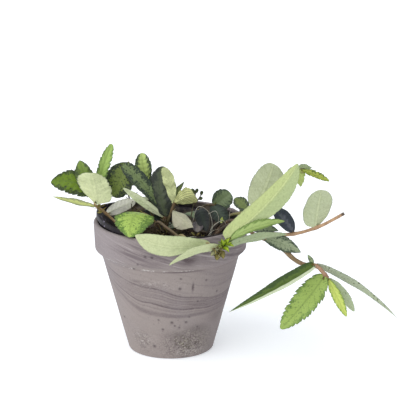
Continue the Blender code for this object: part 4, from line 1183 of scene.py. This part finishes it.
shoots["trailing_shoot"] = {
    "root": (28, -19),
    "stems": [
        stem([(28, -19, 79), (32, -21, 89), (41, -25, 98), (50, -29, 98.5), (58, -32, 94), (67, -35, 90),
              (78, -38, 85), (87, -41, 77.5), (94, -43, 74.5), (102, -44, 73.5), (110, -44, 65)], 1.4,
             (56, 49, 44), (162, 126, 100)),
        stem([(79, -38.3, 84.4), (87, -41, 77.5), (94, -43, 74.5), (102, -44, 73.6), (106, -44, 70),
              (109.5, -44, 65.5)], 1.7, (122, 104, 72), (168, 132, 108)),
    ],
    "leaves": [
        leaf((64, -34, 92), (91.5, -38, 81.8), (0.2, -0.8, 0.6), 12, "speckled", "spear", 0.06, 8),
        leaf((101, -44.8, 75), (41, -62, 46), (0.3, -0.5, 0.9), 10.5, "folded", "long", 0.03, 20, 0.03,
             teeth=0.05),
        leaf((108, -44.5, 67), (77, -60, 33), (-0.3, -0.9, 0.4), 20, "broad", "even", 0.04, 10, 0.035, 0.6,
             teeth=0.2),
        leaf((110, -45, 65), (123, -54, 40), (0.1, -0.95, 0.2), 7.5, "brightNarrow", "oval", 0.04, 12,
             teeth=0.22),
        leaf((110, -43.5, 65), (129, -46, 41), (0.2, 0.9, 0.3), 9, "greyGreen", "oval", 0.05, 8),
        leaf((101, -43, 74.5), (160, -36, 33), (0.35, 0.8, 0.45), 7.8, "streaky", "long", 0.06, 8, -0.01),
        leaf((100, -43, 74.5), (96, -40, 81), (0.3, -0.9, 0.2), 3.5, "greyGreen", "lance", 0.02, 10, teeth=0),
    ],
}

shoots["back_shoot"] = {
    "root": (-10, 24),
    "stems": [
        stem([(-10, 24, 79), (-10, 29, 89), (-9, 38, 97), (-8, 48, 99.5), (-8, 56, 98), (-9, 62, 92),
              (-10, 66, 83), (-10, 68, 72), (-9, 69, 62)], 1.2),
    ],
    "leaves": [
        leaf((-8, 45, 99), (7, 62, 97), (0, 0.1, 1), 12, "darkBright", "oval", 0.1, 6),
        leaf((-8, 59, 95), (-33, 70, 80), (-0.1, 0.6, 0.8), 14, "dark", "oval", 0.1, 6),
        leaf((-9, 63, 90), (14, 75, 76), (0.2, 0.7, 0.7), 15, "darkBright", "oval", 0.1, 6),
        leaf((-10, 66, 82), (-38, 76, 62), (-0.2, 0.8, 0.5), 18, "dark", "oval", 0.1, 6),
        leaf((-10, 68, 72), (13, 80, 50), (0.2, 0.85, 0.4), 17, "fresh", "oval", 0.1, 6),
        leaf((-9, 69, 63), (-24, 79, 36), (-0.1, 0.9, 0.3), 14, "fresh", "oval", 0.08, 6, teeth=0.1),
        leaf((-9, 69, 63), (1, 76, 40), (0.1, 0.9, 0.3), 9, "young", "lance", 0.06, 8, teeth=0.14),
    ],
}

shoots["weed_sprig"] = {
    "root": (12, 2),
    "stems": [
        stem([(12, 2, 79), (14, 4, 92), (16, 6, 103), (18, 7, 113)], 0.45, (70, 66, 48), (62, 66, 44)),
        stem([(16, 6, 103), (19, 6, 107), (22, 5, 112)], 0.4, (70, 66, 48), (62, 66, 44)),
    ],
    "leaves": [
        leaf((17.6, 6.8, 112), (15, 6.6, 116), (0, -1, 0.2), 2.6, "weed", "round", 0, 6, teeth=0),
        leaf((18, 7, 112.6), (19.4, 6.8, 116), (0, -1, 0.2), 2.4, "weed", "round", 0, 6, teeth=0),
        leaf((16.6, 6.3, 106.4), (18.2, 6, 110), (0, -1, 0.2), 2.2, "weed", "round", 0, 6, teeth=0),
        leaf((21.8, 5.1, 111.6), (22.6, 4.6, 115), (0, -1, 0.2), 2.4, "weed", "round", 0, 6, teeth=0),
        leaf((20, 5.7, 108.4), (23, 5.2, 109.6), (0, -1, 0.2), 2.4, "weed", "round", 0, 6, teeth=0),
    ],
}


def addShoot(node, shoot):
    words = node.split("_")
    name = words[0] + "".join(word.title() for word in words[1:])
    slot = "weed" if node == "weed_sprig" else "foliage"
    leaves = addLeaves(name + "Leaves", shoot["leaves"])
    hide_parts(node)
    tubes = []
    for number, one in enumerate(shoot["stems"]):
        tubes.append(stemShape(one, shoot["leaves"], shoot["root"] if number == 0 else None))
    points, faces, facts = gather(tubes)
    addPiece(name + "Stems", points, faces, bark, facts, sharp=70)
    papery = scaleLeaves(shoot["leaves"]) + tuftLeaves(shoot.get("tufts", []))
    if papery:
        addLeaves(name + "Scales", papery)
    print(name, len(shoot["leaves"]), "leaves,", len(shoot["stems"]), "stems,", len(papery), "scales")


# Thin pale roots that arch over the dark leaves

threads = {
    "radius": 0.16,
    "sides": 6,
    "step": 8,
    "routes": [
        [(15, -9, 92), (18.3, -12, 105.5), (22, -13, 108), (27, -13.5, 104.5), (29.3, -14, 99),
         (29.6, -14, 93), (28, -14, 84), (27, -13, 74)],
        [(27, -4, 100), (31.9, -9, 103.7), (34, -10, 100.5), (34, -10, 96.3), (30.4, -10, 92.6),
         (28, -10, 82), (27, -10, 73)],
        [(27, -14, 78), (28, -15, 88), (29.4, -15, 93), (35.6, -15, 98), (38.7, -15, 97), (41, -14, 88),
         (41, -13, 76)],
        [(24, -18, 74), (26, -17, 86), (30, -17, 91.3), (36.5, -16, 92.9), (39, -15, 94.5), (43, -10, 90),
         (43, -8, 78)],
        [(47, 2, 100), (44.8, 0, 103.6), (42.7, 0, 101.6), (42.2, 0, 97.4), (41, 0, 88), (39, 0, 75)],
        [(6, -24, 74), (8, -26, 84), (14, -28, 90), (21, -27, 88), (24, -25, 76)],
    ],
    "colour": (188, 188, 176),
}


def addThreads():
    sides = threads["sides"]
    tubes = []
    for route in threads["routes"]:
        path = smoothPath(route, threads["step"])
        points = tubeShape(path, np.full(len(path), threads["radius"]), sides)
        facts = {"stemColour": np.ones((len(points), 1)) * [tint(*threads["colour"])]}
        facts["stemMarks"] = np.zeros((len(points), 3))
        tubes.append((points, roundFaces(len(path), sides), facts))
    points, faces, facts = gather(tubes)
    addPiece("rootThreads", points, faces, bark, facts, sharp=70)


addCamera()
addStudio()
print("camera and studio ready")
addClayPot()
print("clay pot ready")
addNurseryPot()
print("nursery pot ready")
addMix()
print("potting mix ready")
leafSkin = leafMaterial()
bark = stemMaterial()
for node, shoot in shoots.items():
    addShoot(node, shoot)
addThreads()
print("threads ready")
